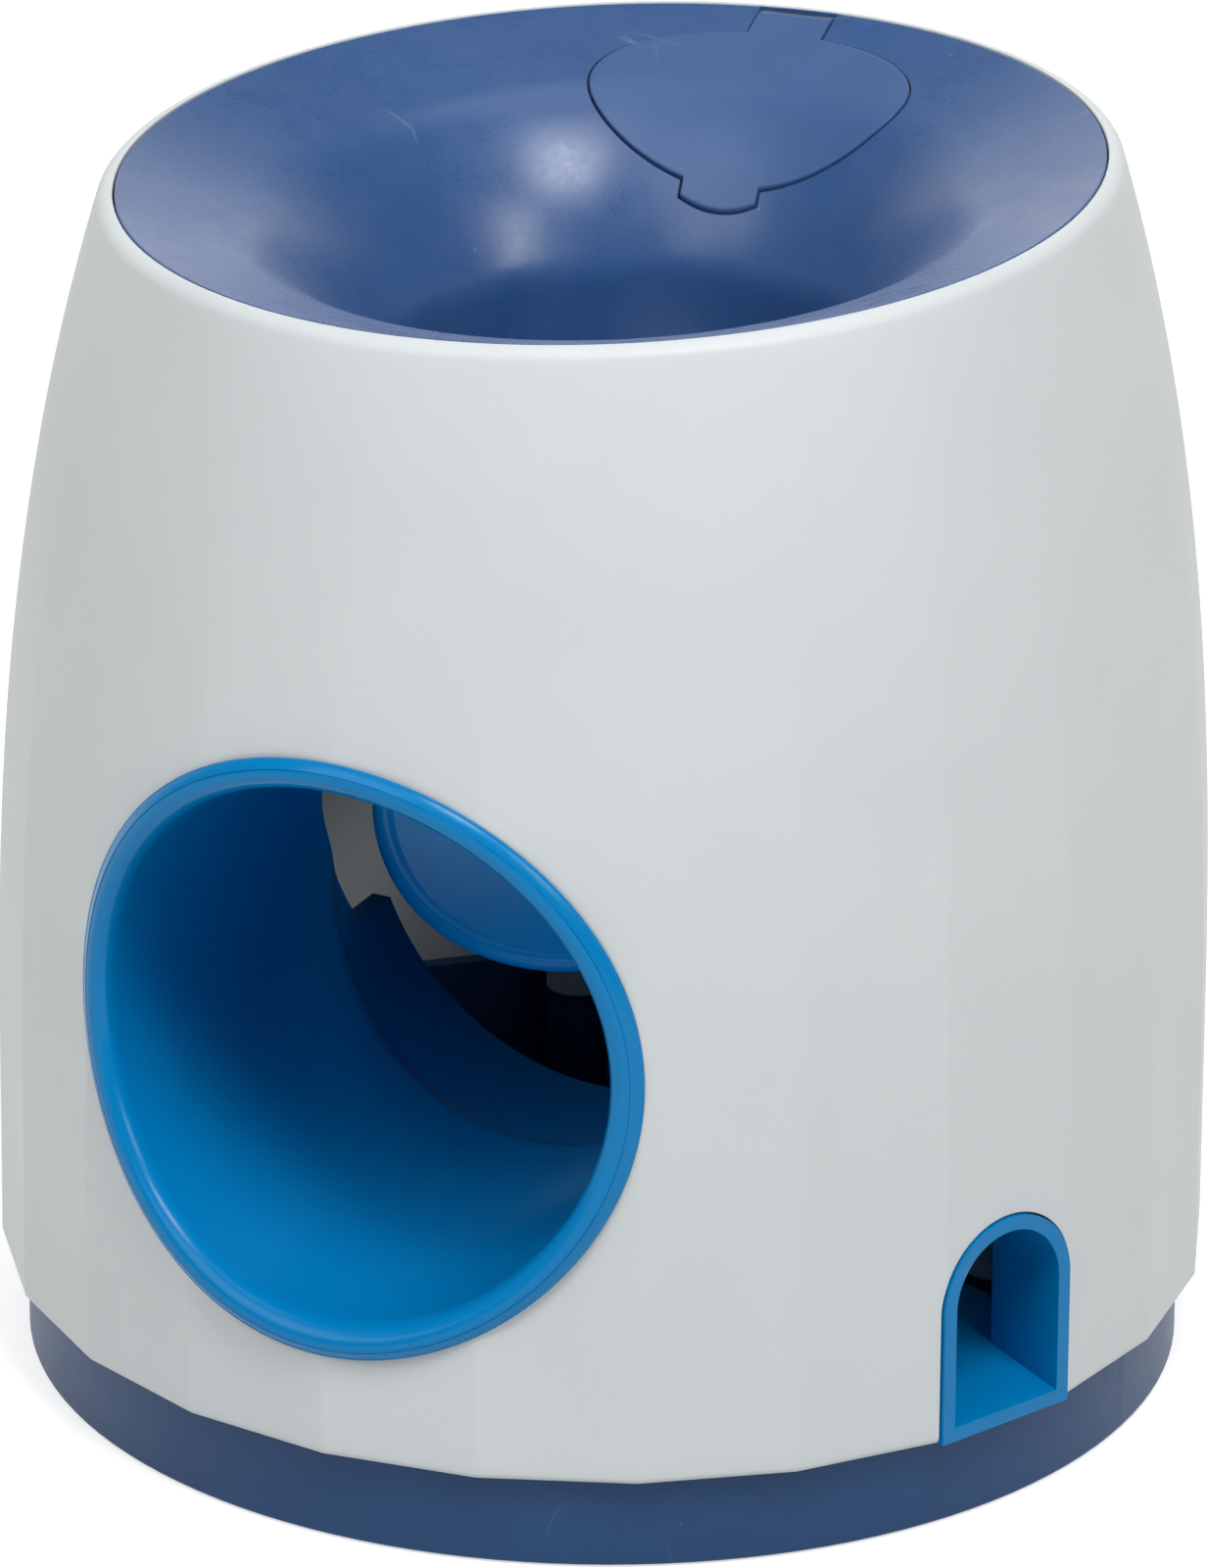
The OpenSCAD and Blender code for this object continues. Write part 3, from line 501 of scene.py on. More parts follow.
WHITE = plastic("pale_shell_plastic", (0.70, 0.742, 0.752), (0.73, 0.772, 0.782),
                rough=0.42, grain=1500, bump=0.2, specular=0.4)
FUNNEL_BLUE = plastic("dark_blue_satin", (0.026, 0.090, 0.258), (0.032, 0.102, 0.285),
                      rough=0.22, grain=1700, bump=0.12, specular=0.6, sheen=0.2, wear=0.3)
LID_BLUE = plastic("lid_blue_satin", (0.043, 0.112, 0.285), (0.055, 0.130, 0.320),
                   rough=0.36, grain=1700, bump=0.15, specular=0.5, sheen=0.2, wear=0.06)
BASE_BLUE = plastic("base_blue_satin", (0.010, 0.056, 0.165), (0.013, 0.066, 0.186),
                    rough=0.36, grain=1500, bump=0.2, specular=0.3, wear=0.15)
BRIGHT_BLUE = plastic("bright_blue_gloss", (0.0, 0.215, 0.53), (0.0, 0.232, 0.565),
                      rough=0.2, grain=1300, bump=0.05, specular=0.2)
# Painted light: the tray is the tube's blue made lighter, standing in for light that barely reaches it inside
# the body
TRAY_BLUE_PAINTED_LIGHT = plastic("tray_blue_gloss_painted_light", (0.0, 0.30, 0.72), (0.0, 0.32, 0.76),
                    rough=0.3, grain=1100, bump=0.05, specular=0.25)
# Painted shade: the inner white parts get about half the shell's white, standing in for the dim light inside
# the body
INNER_WHITE_PAINTED_SHADE = plastic("inner_pale_plastic_painted_shade", (0.34, 0.36, 0.37), (0.38, 0.40, 0.41),
                      rough=0.5, grain=1200, bump=0.3, specular=0.3)
STEEL = metal("zinc_steel", (0.50, 0.51, 0.52), (0.60, 0.61, 0.62), rough=0.3)
RUBBER = plastic("soft_rubber", (0.022, 0.025, 0.030), (0.032, 0.035, 0.040),
                 rough=0.7, grain=1400, bump=0.6, specular=0.3)


# Body shell
def smooth_step(t):
    """Eased run from 0 to 1."""
    u = np.clip(t, 0, 1)
    return u * u * (3 - 2 * u)


def barrel(z):
    """Radius of the round barrel at a height."""
    t = np.maximum(0, np.asarray(z, float) - BELLY) / (BODY_HEIGHT - BELLY)
    return BODY_RADIUS - (BODY_RADIUS - TOP_RADIUS) * np.minimum(t, 1) ** BARREL_POWER


def skin(z, azimuth):
    """Radius of the body: facets at the belly that fade to a round rim."""
    middle = np.radians(azimuth - FACET_ANGLE * (np.floor(azimuth / FACET_ANGLE) + 0.5))
    flat = math.cos(math.radians(FACET_ANGLE / 2)) / np.cos(middle)
    fade = smooth_step((z - BELLY) / (BODY_HEIGHT - BELLY))
    return barrel(z) * (flat + (1 - flat) * fade)


def rim_lift(x, y):
    """Height that the rim's slant adds over a place."""
    return math.tan(math.radians(RIM_TILT)) * (HIGH_SIDE[0] * x + HIGH_SIDE[1] * y)


def lifted(radius, azimuth, z, lean):
    """Ring of points, with a share of the rim's slant."""
    a = np.radians(azimuth)
    x, y = radius * np.sin(a), -radius * np.cos(a)
    return np.stack([x, y, z + lean * rim_lift(x, y)], 1)


def make_shell():
    """Body with its lip, flange, openings and screw bosses."""
    azimuths = np.concatenate([k * FACET_ANGLE + np.array(FACET_STEPS) for k in range(FACETS)])
    one = np.ones(len(azimuths))
    rows = [(SHELL_BOTTOM + SHELL_EDGE * (1 - math.cos(t)), SHELL_EDGE * (1 - math.sin(t)))
            for t in np.radians([0, 18, 36, 54, 72, 90])]
    first = SHELL_BOTTOM + SHELL_EDGE
    rows += [(z, 0) for z in np.linspace(first, BODY_HEIGHT - LIP_ROUND, 72)[1:]]
    rows += [(BODY_HEIGHT - LIP_ROUND * (1 - math.sin(t)), LIP_ROUND * (1 - math.cos(t)))
             for t in np.radians([11, 22, 33, 44, 55, 66, 77, 90])]
    rings = []
    for z, inset in rows:
        lean = (z - SHELL_BOTTOM) / (BODY_HEIGHT - SHELL_BOTTOM)
        rings.append(lifted(skin(min(z, BODY_HEIGHT), azimuths) - inset, azimuths, z, lean))
    inner_edge = RIM_RADIUS + SEAM
    flange_low = BODY_HEIGHT - FLANGE_TOP - FLANGE_THICKNESS
    for radius, z in ((inner_edge, BODY_HEIGHT - LIP_DROP), (inner_edge, BODY_HEIGHT - FLANGE_TOP),
                      (FLANGE_RADIUS, BODY_HEIGHT - FLANGE_TOP), (FLANGE_RADIUS, flange_low)):
        rings.append(lifted(radius * one, azimuths, z, 1))
    hollow = math.cos(math.radians(FACET_ANGLE / 2))
    for z in np.linspace(flange_low, SHELL_BOTTOM, 20):
        inside = (barrel(z) * hollow - SHELL_WALL) * one
        rings.append(lifted(inside, azimuths, z, 1 if z == flange_low else 0))
    shell = loft("body_skin", rings)
    forward = Matrix.Translation((0, 0, TUBE_HEIGHT)) @ turn(90, "X")
    cut(shell, rod("hole", TUBE_OUTER + CLEAR, *TUBE_CUT, forward, 160))
    door = arch(OUTLET_WIDTH / 2 + CLEAR, SHELL_BOTTOM + OUTLET_HEIGHT + CLEAR, 0)
    cut(shell, prism("door", door, *OUTLET_CUT, ON_OUTLET))
    rib = [(0, -RIB_HALF), (RIB_LENGTH, -RIB_HALF), (RIB_LENGTH, RIB_HALF), (0, RIB_HALF)]
    boss_top = SHELL_JOINT + BOSS_HEIGHT
    for azimuth in BOSS_AZIMUTHS:
        a = math.radians(azimuth)
        spot = Matrix.Translation((BOSS_CIRCLE * math.sin(a), -BOSS_CIRCLE * math.cos(a), 0))
        axis = spot @ turn(azimuth - 90, "Z")
        cut(shell, rod("boss", BOSS_RADIUS, SHELL_JOINT, boss_top, axis, BOSS_SIDES), "UNION")
        cut(shell, prism("rib", rib, SHELL_JOINT + RIB_EDGE, boss_top - RIB_EDGE, axis), "UNION")
        cut(shell, rod("pilot", PILOT_RADIUS, SHELL_JOINT - 1, SHELL_JOINT + BOSS_PILOT, axis, PILOT_SIDES))
    shade(shell)
    return shell


def arch(half, top, bottom, steps=40):
    """Outline of the outlet's arch, anticlockwise from its lower left."""
    a = np.linspace(0, np.pi, steps)
    curve = np.stack([half * np.cos(a), top - half + half * np.sin(a)], 1)
    return np.vstack([[(-half, bottom), (half, bottom)], curve])


# Funnel and hatch
def bell(d, steps=30):
    """Funnel surface, a distance under its face, as (radius, height) from the rim down."""
    slopes = np.radians([BAND_SLOPE, WALL_START, WALL_END, 90])
    radii = (BEND_RADIUS, WALL_RADIUS, THROAT_BEND)
    band_end = np.array([RIM_RADIUS - BAND_WIDTH, -BAND_WIDTH * math.tan(slopes[0])])
    centre = band_end + BEND_RADIUS * np.array([math.sin(slopes[0]), -math.cos(slopes[0])])
    arcs = []
    for i, radius in enumerate(radii):
        a = np.linspace(slopes[i], slopes[i + 1], steps)
        arcs.append((centre + (radius - d) * np.stack([-np.sin(a), np.cos(a)], 1))[1 if i else 0:])
        if i + 1 < len(radii):
            away = np.array([-math.sin(slopes[i + 1]), math.cos(slopes[i + 1])])
            centre = centre + (radius - radii[i + 1]) * away
    first = np.array([[RIM_EDGE, -d / math.cos(slopes[0])]])
    band = first + np.linspace(0.1, 0.9, 9)[:, None] * (arcs[0][0] - first)
    last = np.array([[THROAT_RADIUS + d, -THROAT_DEPTH]])
    neck = arcs[-1][-1] + np.linspace(0.2, 0.8, 4)[:, None] * (last[0] - arcs[-1][-1])
    return np.vstack([first, band, *arcs, neck, last])


def lid_reach(d, angles):
    """Distance from the lid's centre to its outline, grown by d, at angles from across the funnel."""
    c, s = np.cos(angles), np.sin(angles)
    reach = 1 / np.sqrt((c / (LID_HALF_WIDTH + d)) ** 2 + (s / (LID_HALF_LENGTH + d)) ** 2)
    aside = np.maximum(np.abs(c), 1e-9)
    across = (FINGER_TAB / 2 + d + np.sign(c) * FINGER_SHIFT) / aside
    along = c * FINGER_SHIFT + s * FINGER_TOP
    end = along + np.sqrt(along ** 2 + (FINGER_ROUND + d) ** 2 - FINGER_SHIFT ** 2 - FINGER_TOP ** 2)
    reach = np.where(s > 0, np.maximum(reach, np.minimum(across, end)), reach)
    hinge = np.minimum((HINGE_TAB / 2 + d) / aside, LID_CENTRE / np.maximum(-s, 1e-9))
    return np.where(s < 0, np.maximum(reach, hinge), reach)


def lid_angles(d):
    """Directions round the lid, with its corners among them."""
    def oval(x):
        return (LID_HALF_LENGTH + d) * math.sqrt(1 - (x / (LID_HALF_WIDTH + d)) ** 2)

    fixed = []
    finger, hinge = FINGER_TAB / 2 + d, HINGE_TAB / 2 + d
    tip = FINGER_TOP + math.sqrt((FINGER_ROUND + d) ** 2 - finger ** 2)
    for side in (-1, 1):
        x = FINGER_SHIFT + side * finger
        fixed += [math.atan2(tip, x), math.atan2(oval(x), x)]
        fixed += [math.atan2(-LID_CENTRE, side * hinge), math.atan2(-oval(hinge), side * hinge)]
    a = np.concatenate([np.linspace(-math.pi, math.pi, 300, endpoint=False), np.array(fixed)])
    a = np.sort(np.mod(a, 2 * math.pi))
    keep = np.concatenate([[True], np.diff(a) > 0.002])
    return a[keep]


def lid_outline(d):
    """Outline of the lid, grown by d, in its own frame."""
    a = lid_angles(d)
    r = lid_reach(d, a)
    return np.stack([r * np.cos(a), LID_CENTRE + r * np.sin(a)], 1)


def funnel_height(points, d):
    """Height in the lid's frame of the funnel's face, a distance d deep, over points of that frame."""
    profile = bell(d)[::-1]
    low = np.full(len(points), -float(TOOL_HALF))
    high = np.full(len(points), float(TOOL_HALF))
    for _ in range(48):
        middle = (low + high) / 2
        q = place(np.column_stack([points, middle]), LID_IN_RIM)
        above = q[:, 2] > np.interp(np.hypot(q[:, 0], q[:, 1]), profile[:, 0], profile[:, 1])
        high = np.where(above, middle, high)
        low = np.where(above, low, middle)
    return (low + high) / 2


def make_funnel():
    """Funnel with the opening for its lid, ledge, snap hooks and screw lugs."""
    inner = RIM_EDGE - SEAT_WIDTH
    edge = [(RIM_EDGE + r, z) for r, z in FUNNEL_EDGE]
    face = [tuple(p) for p in bell(0) if p[0] < RIM_EDGE - FACE_START]
    under = [tuple(p) for p in bell(SHEET)[::-1] if p[0] < inner - UNDER_START]
    seat_top = -(RIM_RADIUS - inner) * BAND_FALL - SHEET_UPRIGHT
    seat = [(inner, seat_top), (inner, -SEAT_DEPTH), (RIM_EDGE, -SEAT_DEPTH)]
    funnel = revolve("funnel_skin", edge + face + under + seat, FUNNEL_SIDES, ON_RIM)
    cut(funnel, prism("opening", lid_outline(LID_GAP), -OPENING_HALF, OPENING_HALF, ON_LID))
    room = HINGE_TAB / 2 + LID_GAP
    cut(funnel, rod("hinge_room", HINGE_ROOM, -room, room, ON_HINGE))
    cut(funnel, make_strip(), "UNION")
    cut(funnel, make_ledge(), "UNION")
    for azimuth in HOOK_AZIMUTHS:
        cut(funnel, make_hook(azimuth), "UNION")
    for side in (-1, 1):
        x, y = side * LUG_PLACE[0], LUG_PLACE[1]
        axis = Matrix.Translation((x, y, 0))
        top = BODY_HEIGHT + rim_lift(x, y) - (RIM_RADIUS - math.hypot(x, y)) * BAND_FALL - LUG_SINK
        cut(funnel, rod("lug", LUG_RADIUS, LUG_LOW, top, axis, BOSS_SIDES), "UNION")
        cut(funnel, rod("pilot", PILOT_RADIUS, *LUG_PILOT, axis, PILOT_SIDES))
    shade(funnel)
    return funnel


def make_strip():
    """Thin edge of the funnel that runs on behind the hinge, above the path of the lid's end."""
    outer = RIM_RADIUS + SEAM / 2
    reach = math.asin((HINGE_TAB / 2 + 2 * LID_GAP) / outer)
    rings = []
    for aside in np.linspace(-reach, reach, 9):
        inner = (HINGE_RADIUS + STRIP_ROOM) / math.cos(aside)
        section = [(outer, -STRIP_TOP), (outer, -STRIP_LOW), (inner, -STRIP_LOW), (inner, -STRIP_TOP)]
        rings.append(swung(np.array(section), math.radians(HATCH_AZIMUTH) + aside, ON_RIM))
    return loft("strip", rings, looped=False)


def make_ledge():
    """Ring under the lid's edge, left open at the hinge and the finger tab."""
    upper, under = bell(SHEET - LEDGE_SHEET[0]), bell(SHEET + LEDGE_SHEET[1])
    section = [tuple(p) for p in (*upper, *under[::-1]) if LEDGE_INNER < p[0] < FLANGE_RADIUS - CLEAR]
    ledge = revolve("ledge", section, FUNNEL_SIDES, ON_RIM)
    cut(ledge, prism("outer", lid_outline(LID_GAP + LEDGE), -TOOL_HALF, TOOL_HALF, ON_LID), "INTERSECT")
    cut(ledge, prism("inner", lid_outline(LID_GAP - LEDGE), -TOOL_HALF, TOOL_HALF, ON_LID))
    finger = LID_CENTRE + LID_HALF_LENGTH
    for low, high in ((-TOOL_HALF, LEDGE_HINGE_GAP), (finger - LEDGE, finger + TOOL_HALF)):
        box = [(-HINGE_TAB, low), (HINGE_TAB, low), (HINGE_TAB, high), (-HINGE_TAB, high)]
        cut(ledge, prism("gap", box, -TOOL_HALF, TOOL_HALF, ON_LID))
    return ledge


def make_hook(azimuth):
    """Snap hook under the funnel's edge."""
    outer = FLANGE_RADIUS - CLEAR
    inner = outer - HOOK_SHEET
    grip = -(FLANGE_TOP + FLANGE_THICKNESS + CLEAR)
    tip = grip - HOOK_TIP
    section = np.array([(inner, -(RIM_RADIUS - inner) * BAND_FALL - HOOK_SINK),
                        (outer, -(RIM_RADIUS - outer) * BAND_FALL - HOOK_SINK),
                        (outer, grip), (outer + HOOK_BARB, grip), (outer, tip), (inner, tip)])
    angles = np.radians(azimuth + np.linspace(-HOOK_HALF_ANGLE, HOOK_HALF_ANGLE, 9))
    return loft("hook", [swung(section, t, ON_RIM) for t in angles], looped=False)


def make_knuckle():
    """Barrel of the hinge, with a top that runs on from the lid and a round back that turns in its room."""
    ahead = np.linspace(KNUCKLE_FRONT, -KNUCKLE_R, 60)
    ahead = ahead[ahead > 0]
    height = funnel_height(np.column_stack([np.zeros(len(ahead)), ahead]), -LID_PROUD)
    a = np.radians(np.linspace(*KNUCKLE_BACK_ARC, 12))
    back = KNUCKLE_R * np.stack([np.cos(a), np.sin(a)], 1)
    b = np.radians(np.linspace(*KNUCKLE_LOW_ARC, 16))
    low = BARREL_R * np.stack([np.cos(b), np.sin(b)], 1)
    outline = np.vstack([np.column_stack([ahead, height]), back, low])
    return prism("knuckle", outline, -HINGE_TAB / 2, HINGE_TAB / 2, ON_LID @ ALONG_X)


def make_lid():
    """Lid that follows the funnel's face, with a rounded edge and the hinge's barrel."""
    a = lid_angles(0)
    reach = lid_reach(0, a) + LID_SNUG * smooth_step((LID_SNUG_START - np.sin(a)) / LID_SNUG_RUN)
    way = np.stack([np.cos(a), np.sin(a)], 1)

    def ring(distance, depth):
        p = way * distance[:, None] + (0, LID_CENTRE)
        p[:, 1] = np.maximum(p[:, 1], 0)
        return place(np.column_stack([p, funnel_height(p, depth)]), ON_LID)

    rings = [ring(reach * share, -LID_PROUD) for share in (0.04, 0.2, 0.4, 0.6, 0.78, 0.9, 0.96)]
    for t in np.radians([0, 30, 60, 90]):
        inset, drop = LID_EDGE * (1 - math.sin(t)), LID_EDGE * (1 - math.cos(t))
        rings.append(ring(reach - inset, drop - LID_PROUD))
    rings += [ring(reach * share, LID_SHEET) for share in (1, 0.96, 0.78, 0.5, 0.2, 0.04)]
    lid = loft("hatch_skin", rings, looped=False)
    cut(lid, make_knuckle(), "UNION")
    cut(lid, rod("pin_hole", PIN_R, -HINGE_TAB, HINGE_TAB, ON_HINGE, BOSS_SIDES))
    shade(lid)
    return lid


# Ball tube
def make_tube():
    """Tube with a rolled rim that follows the body, a soft ridge inside and an open trough behind it.

    Rows of its section: radius, place along the tube, and shares of the body's front and of the ridge's lean.
    """
    mouth = TUBE_BORE + MOUTH_GROWTH
    crown = BEAD_HEIGHT + SEAM
    section = [(TUBE_OUTER, TUBE_END, 0, 0), (TUBE_BORE, TUBE_END, 0, 0)]
    for u in np.linspace(0, 1, 13):
        swell = RIDGE * math.sin(u * math.pi / 2) ** 2
        section.append((TUBE_BORE - swell, RIDGE_Y + RIDGE_REAR - RIDGE_REAR * u, 0, 1))
    for u in np.linspace(0, 1, 9)[1:]:
        fall = RIDGE * RIDGE_REST * smooth_step(u)
        section.append((TUBE_BORE - RIDGE + fall, RIDGE_Y - RIDGE_FRONT * u, 0, 1))
    start = (TUBE_BORE - RIDGE * RIDGE_REST, RIDGE_Y - RIDGE_FRONT, 0, 1)
    end = (mouth, BEAD_ROLL - crown, 1, 0)
    for u in np.linspace(0, 1, 25)[1:-1]:
        section.append(tuple(p + (q - p) * u for p, q in zip(start, end)))
    for t in np.radians(np.linspace(0, 90, 23)[:-1]):
        section.append((BEAD_CREST - (BEAD_CREST - mouth) * math.cos(t),
                        BEAD_ROLL * (1 - math.sin(t)) - crown, 1, 0))
    flank = BEAD_OUTER - BEAD_SLOPE * (math.sin(FLANK_END) - math.sin(FLANK_START))
    crease = flank - BEAD_CREASE
    section.append((BEAD_CREST, -crown, 1, 0))
    section += [(crease + r, y - crown, 1, 0) for r, y in CREASE_STEPS]
    for t in np.linspace(FLANK_START, FLANK_END, 13):
        section.append((flank + BEAD_SLOPE * (math.sin(t) - math.sin(FLANK_START)),
                        BEAD_SLOPE * (math.cos(FLANK_START) - math.cos(t)) - crown, 1, 0))
    under = SEAM + BEAD_UNDERCUT
    section += [(BEAD_OUTER - r, y - under, 1, 0) for r, y in UNDERCUT_STEPS]
    section += [(BEAD_OUTER - UNDERCUT_END, -SEAM, 1, 0), (TUBE_OUTER, -SEAM, 1, 0)]
    section = np.array(section)
    rings = []
    for t in np.radians(np.arange(0, 360, 1.5)):
        x, rise = section[:, 0] * math.cos(t), section[:, 0] * math.sin(t)
        front = -np.sqrt(barrel(TUBE_HEIGHT + rise) ** 2 - x * x)
        y = section[:, 1] + section[:, 2] * front + section[:, 3] * RIDGE_LEAN * rise
        rings.append(np.stack([x, y, TUBE_HEIGHT + rise], 1))
    tube = loft("tube_skin", rings)
    bottom = TUBE_HEIGHT - TUBE_OUTER
    for y in TUBE_BOSS_Y:
        low, high = bottom + TUBE_BOSS_SPAN[0], bottom + TUBE_BOSS_SPAN[1]
        cut(tube, rod("boss", BOSS_RADIUS, low, high, Matrix.Translation((0, y, 0)), BOSS_SIDES), "UNION")
    edge, top = TUBE_HEIGHT - TROUGH_EDGE, TUBE_HEIGHT + TUBE_OUTER + 5
    side = [(TROUGH_REAR, edge), (TROUGH_REAR, top), (2 * RIDGE_Y, top),
            (2 * RIDGE_Y, TUBE_HEIGHT + TUBE_BORE), (RIDGE_Y + RIDGE_REAR, edge)]
    cut(tube, prism("trough", side, -CROSS_HALF, CROSS_HALF, ALONG_X))
    shade(tube, 40)
    return tube


# Treat outlet
def make_outlet():
    """Arched frame with its sill and the sloping pan behind it."""
    half, top = OUTLET_WIDTH / 2, SHELL_BOTTOM + OUTLET_HEIGHT
    face = FACET_DISTANCE + OUTLET_PROUD
    inner = face - OUTLET_DEPTH
    start = face - FRAME_DEPTH
    floor = SHELL_BOTTOM + SILL_HEIGHT
    plan = [(-half, inner), (inner * PAN_LEAN - PAN_SHIFT, inner),
            ((start - 1) * PAN_LEAN - PAN_SHIFT, start - 1),
            (half, start + 2), (half, face), (-half, face)]
    pan = prism("outlet_skin", [(x, -y) for x, y in plan], 0, top, AT_OUTLET)
    side = [(-face, SHELL_BOTTOM), (-face, floor), (-inner, floor + OUTLET_RISE), (-inner, SHELL_BOTTOM)]
    cut(pan, prism("wedge", side, -CROSS_HALF, CROSS_HALF, AT_OUTLET @ ALONG_X), "INTERSECT")
    frame_ring = prism("frame", arch(half, top, SHELL_BOTTOM), start, face, ON_OUTLET)
    hole = arch(half - OUTLET_WALL, top - OUTLET_WALL, SHELL_BOTTOM - 1)
    cut(frame_ring, prism("hole", hole, start - 1, face + 1, ON_OUTLET))
    cut(pan, frame_ring, "UNION")
    wall_top = top - half
    inside = OUTLET_WALL - half
    wall = [(-half, SHELL_BOTTOM), (inside, SHELL_BOTTOM), (inside, wall_top), (-half, wall_top)]
    cut(pan, prism("side_wall", wall, inner, start, ON_OUTLET), "UNION")
    back = [(-half, SHELL_BOTTOM), (half, SHELL_BOTTOM), (half, wall_top), (-half, wall_top)]
    cut(pan, prism("back_wall", back, inner, inner + OUTLET_WALL, ON_OUTLET), "UNION")
    for distance in PAN_FEET:
        axis = AT_OUTLET @ Matrix.Translation((0, -inner - distance, 0))
        cut(pan, rod("foot", PAN_FOOT_RADIUS, PAN_FOOT_LOW, SHELL_BOTTOM + 1, axis, BOSS_SIDES), "UNION")
    soften(pan)
    shade(pan)
    return pan


# Ball tray
def dish_arc(under, steps=40):
    """Curve of the dish from its middle to its edge, a distance under its face."""
    sphere = (TRAY_RADIUS ** 2 + TRAY_DEPTH ** 2) / (2 * TRAY_DEPTH)
    swing = np.linspace(0.004, 1, steps) * math.asin(TRAY_RADIUS / sphere)
    r = sphere + under
    return np.stack([r * np.sin(swing), sphere - TRAY_DEPTH - r * np.cos(swing)], 1)


def make_tray():
    """Dish with a rolled rim and two fork arms to its shaft."""
    rim = [(TRAY_RADIUS + TRAY_RIM * math.sin(t), -TRAY_RIM / 2 + TRAY_RIM * math.cos(t))
           for t in np.radians(np.linspace(-60, 200, 27))]
    face = [tuple(p) for p in dish_arc(0) if p[0] < TRAY_RADIUS - TRAY_RIM]
    under = [tuple(p) for p in dish_arc(TRAY_SHEET)[::-1] if p[0] < TRAY_RADIUS - TRAY_UNDER_EDGE]
    tray = revolve("tray_skin", face + rim + under, 200, ON_TRAY)
    edge = math.sqrt(TRAY_RADIUS ** 2 - ((FORK_IN + FORK_OUT) / 2) ** 2)
    s = math.radians(TRAY_SLOPE)
    edge_y, edge_z = edge * math.cos(s), TRAY_HEIGHT + edge * math.sin(s)
    py, pz = PIVOT
    a = np.radians(np.linspace(-90, 90, 25))
    arm = [(py + HUB_R * math.cos(t), pz + HUB_R * math.sin(t)) for t in a]
    arm += [(edge_y + y, edge_z + z) for y, z in (ARM_TOP, ARM_FOOT)]
    hollow = [tuple(p) for p in dish_arc(TRAY_SHEET / 2)] + [(TRAY_RADIUS, TRAY_RADIUS), (0.1, TRAY_RADIUS)]
    for low, high in ((-FORK_OUT, -FORK_IN), (FORK_IN, FORK_OUT)):
        piece = prism("arm", arm, low, high, ALONG_X)
        cut(piece, revolve("hollow", hollow, 120, ON_TRAY))
        cut(tray, piece, "UNION")
    axis = Matrix.Translation((0, py, pz)) @ ALONG_X
    cut(tray, rod("bore", SHAFT_BORE, -FORK_OUT - 1, FORK_OUT + 1, axis, 48))
    shade(tray)
    return tray


finish_piece(make_shell(), "housing", "shell_white", WHITE, "body_shell")
finish_piece(make_funnel(), "housing", "navy_plastic", FUNNEL_BLUE, "funnel")
finish_piece(make_lid(), "hatch", "navy_plastic", LID_BLUE, "hatch_lid")
finish_piece(make_tube(), "housing", "blue_plastic", BRIGHT_BLUE, "ball_tube")
finish_piece(make_outlet(), "housing", "blue_plastic", BRIGHT_BLUE, "treat_outlet")
finish_piece(make_tray(), "tipper", "blue_plastic", TRAY_BLUE_PAINTED_LIGHT, "ball_tray")

# Pieces that keep their solid
KEPT = {
    BASE_BLUE: ["base_pan", "counterweight_arm"],
    BRIGHT_BLUE: ["treat_gate"],
    INNER_WHITE_PAINTED_SHADE: ["treat_hopper", "treat_slide", "bush_left", "bush_right"],
    STEEL: ["hatch_pin", "tray_shaft", "counterweight", "shaft_clip", "base_screws", "tube_screws",
            "outlet_screws", "slide_screws", "hopper_screws"],
    RUBBER: ["foot_ring", "stop_bumper"],
}
for material, names in KEPT.items():
    for name in names:
        nodes[name].data.materials.clear()
        nodes[name].data.materials.append(material)

# Floor, which looks white but lights the toy as a pale floor does
FLOOR_SIZE = 14
FLOOR_LEVEL = 0.65
FLOOR_GLOW = 0.65
bpy.ops.mesh.primitive_plane_add(size=FLOOR_SIZE)
floor = bpy.context.object
floor.name = "floor"
floor_mat = bpy.data.materials.new("pale_floor")
floor_mat.use_nodes = True
tree = floor_mat.node_tree
bsdf = tree.nodes["Principled BSDF"]
bsdf.inputs["Base Color"].default_value = (FLOOR_LEVEL, FLOOR_LEVEL, FLOOR_LEVEL, 1)
bsdf.inputs["Roughness"].default_value = 0.9
bsdf.inputs["Specular IOR Level"].default_value = 0.1
glow = tree.nodes.new("ShaderNodeEmission")
path = tree.nodes.new("ShaderNodeLightPath")
seen = path.outputs["Is Camera Ray"]
for ray in ("Is Glossy Ray", "Is Transmission Ray"):
    seen = combine(tree, "MAXIMUM", seen, path.outputs[ray])
link(tree, combine(tree, "MULTIPLY", seen, FLOOR_GLOW), glow.inputs["Strength"])
lit = tree.nodes.new("ShaderNodeAddShader")
link(tree, bsdf.outputs[0], lit.inputs[0])
link(tree, glow.outputs[0], lit.inputs[1])
link(tree, lit.outputs[0], tree.nodes["Material Output"].inputs["Surface"])
floor.data.materials.append(floor_mat)

# World: a dim dome, with a bright backdrop low behind the toy
YAW = 26.62
world = bpy.data.worlds.new("studio")
bpy.context.scene.world = world
world.use_nodes = True
tree = world.node_tree
split = tree.nodes.new("ShaderNodeSeparateXYZ")
ray = tree.nodes.new("ShaderNodeTexCoord").outputs["Generated"]
link(tree, ray, split.inputs[0])


def sky(stops):
    """Stops of grey over the elevation of a ray, in degrees."""
    return [(math.sin(math.radians(elevation)), (level, level, level)) for elevation, level in stops]


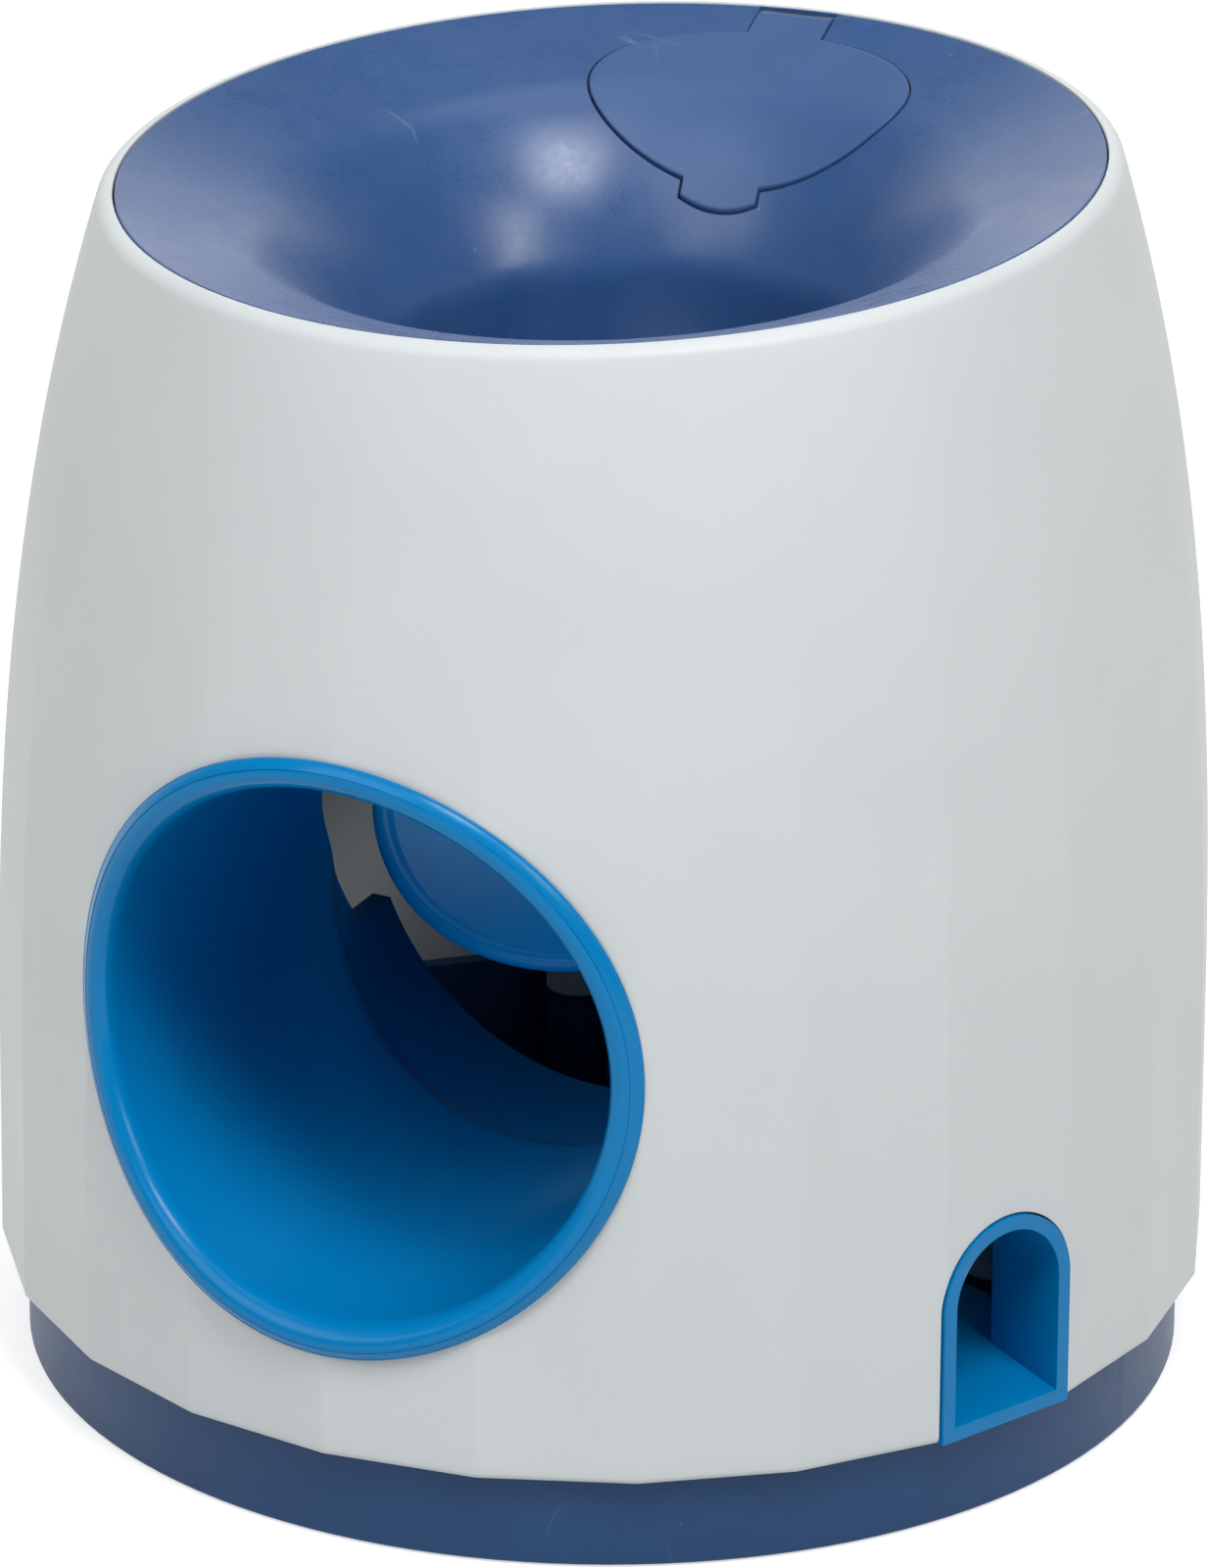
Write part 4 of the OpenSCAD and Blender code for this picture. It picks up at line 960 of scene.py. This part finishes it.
DOME = sky([(0, 0.18), (30, 0.12), (46, 0.12), (58, 0.29)])
BACKDROP_HEIGHT = sky([(0, 0.95), (26, 0.95), (36, 0)])
BACKDROP_SIDE = [(0.4, (0, 0, 0)), (0.85, (1, 1, 1))]
behind = tree.nodes.new("ShaderNodeVectorMath")
behind.operation = "DOT_PRODUCT"
behind.inputs[1].default_value = (-math.sin(math.radians(YAW)), math.cos(math.radians(YAW)), 0)
link(tree, ray, behind.inputs[0])
dome = ramp(tree, split.outputs["Z"], DOME)
glow_height = ramp(tree, split.outputs["Z"], BACKDROP_HEIGHT)
glow_side = ramp(tree, behind.outputs["Value"], BACKDROP_SIDE)
backdrop = tree.nodes.new("ShaderNodeVectorMath")
backdrop.operation = "MULTIPLY_ADD"
link(tree, glow_height, backdrop.inputs[0])
link(tree, glow_side, backdrop.inputs[1])
link(tree, dome, backdrop.inputs[2])
link(tree, backdrop.outputs[0], tree.nodes["Background"].inputs["Color"])
tree.nodes["Background"].inputs["Strength"].default_value = 1

# Camera
ELEVATION = 22.811
DISTANCE = 1738.39
FOCAL_PIXELS = 12658.0
ROLL = 0.4098
AIM_HEIGHT = 81.91
WIDTH_PIXELS = 1233
CENTRE_PIXELS = 618.37
SENSOR_WIDTH = 36
e, rolled = math.radians(ELEVATION), math.radians(ROLL)
right, up = Vector((1, 0, 0)), Vector((0, math.sin(e), math.cos(e)))
ahead = Vector((0, math.cos(e), -math.sin(e)))
x_axis = math.cos(rolled) * right + math.sin(rolled) * up
y_axis = -math.sin(rolled) * right + math.cos(rolled) * up
spot = Vector((0, -DISTANCE * math.cos(e), AIM_HEIGHT + DISTANCE * math.sin(e))) * MM
view = Matrix((x_axis, y_axis, -ahead)).transposed().to_4x4()
camera = bpy.data.objects.new("camera", bpy.data.cameras.new("camera"))
bpy.context.scene.collection.objects.link(camera)
camera.data.sensor_fit = "HORIZONTAL"
camera.data.sensor_width = SENSOR_WIDTH
camera.data.lens = FOCAL_PIXELS * SENSOR_WIDTH / WIDTH_PIXELS
camera.data.shift_x = -(CENTRE_PIXELS - WIDTH_PIXELS / 2) / WIDTH_PIXELS
camera.data.clip_start = 0.05
camera.data.clip_end = 50
camera.matrix_world = turn(YAW, "Z") @ Matrix.Translation(spot) @ view
bpy.context.scene.camera = camera


# Lamps
LAMP_DISTANCE = 1.5
LAMP_TARGET = Vector((0, 0, 0.1))


def softbox(name, azimuth, elevation, size, watts):
    """Square lamp, placed by its azimuth from the camera's side and its elevation."""
    a, h = math.radians(YAW + azimuth), math.radians(elevation)
    way = Vector((math.sin(a) * math.cos(h), -math.cos(a) * math.cos(h), math.sin(h)))
    lamp = bpy.data.lights.new(name, "AREA")
    lamp.shape = "SQUARE"
    lamp.size = size
    lamp.energy = watts
    obj = bpy.data.objects.new(name, lamp)
    bpy.context.scene.collection.objects.link(obj)
    obj.location = LAMP_TARGET + way * LAMP_DISTANCE
    obj.rotation_euler = (-way).to_track_quat("-Z", "Y").to_euler()


softbox("key", azimuth=20, elevation=59, size=0.45, watts=8.8)
softbox("top", azimuth=180, elevation=82, size=1.0, watts=3.6)
softbox("left", azimuth=-47, elevation=43, size=1.0, watts=7)
softbox("right", azimuth=45, elevation=35, size=0.5, watts=4.5)

bpy.context.scene.view_settings.view_transform = "Standard"
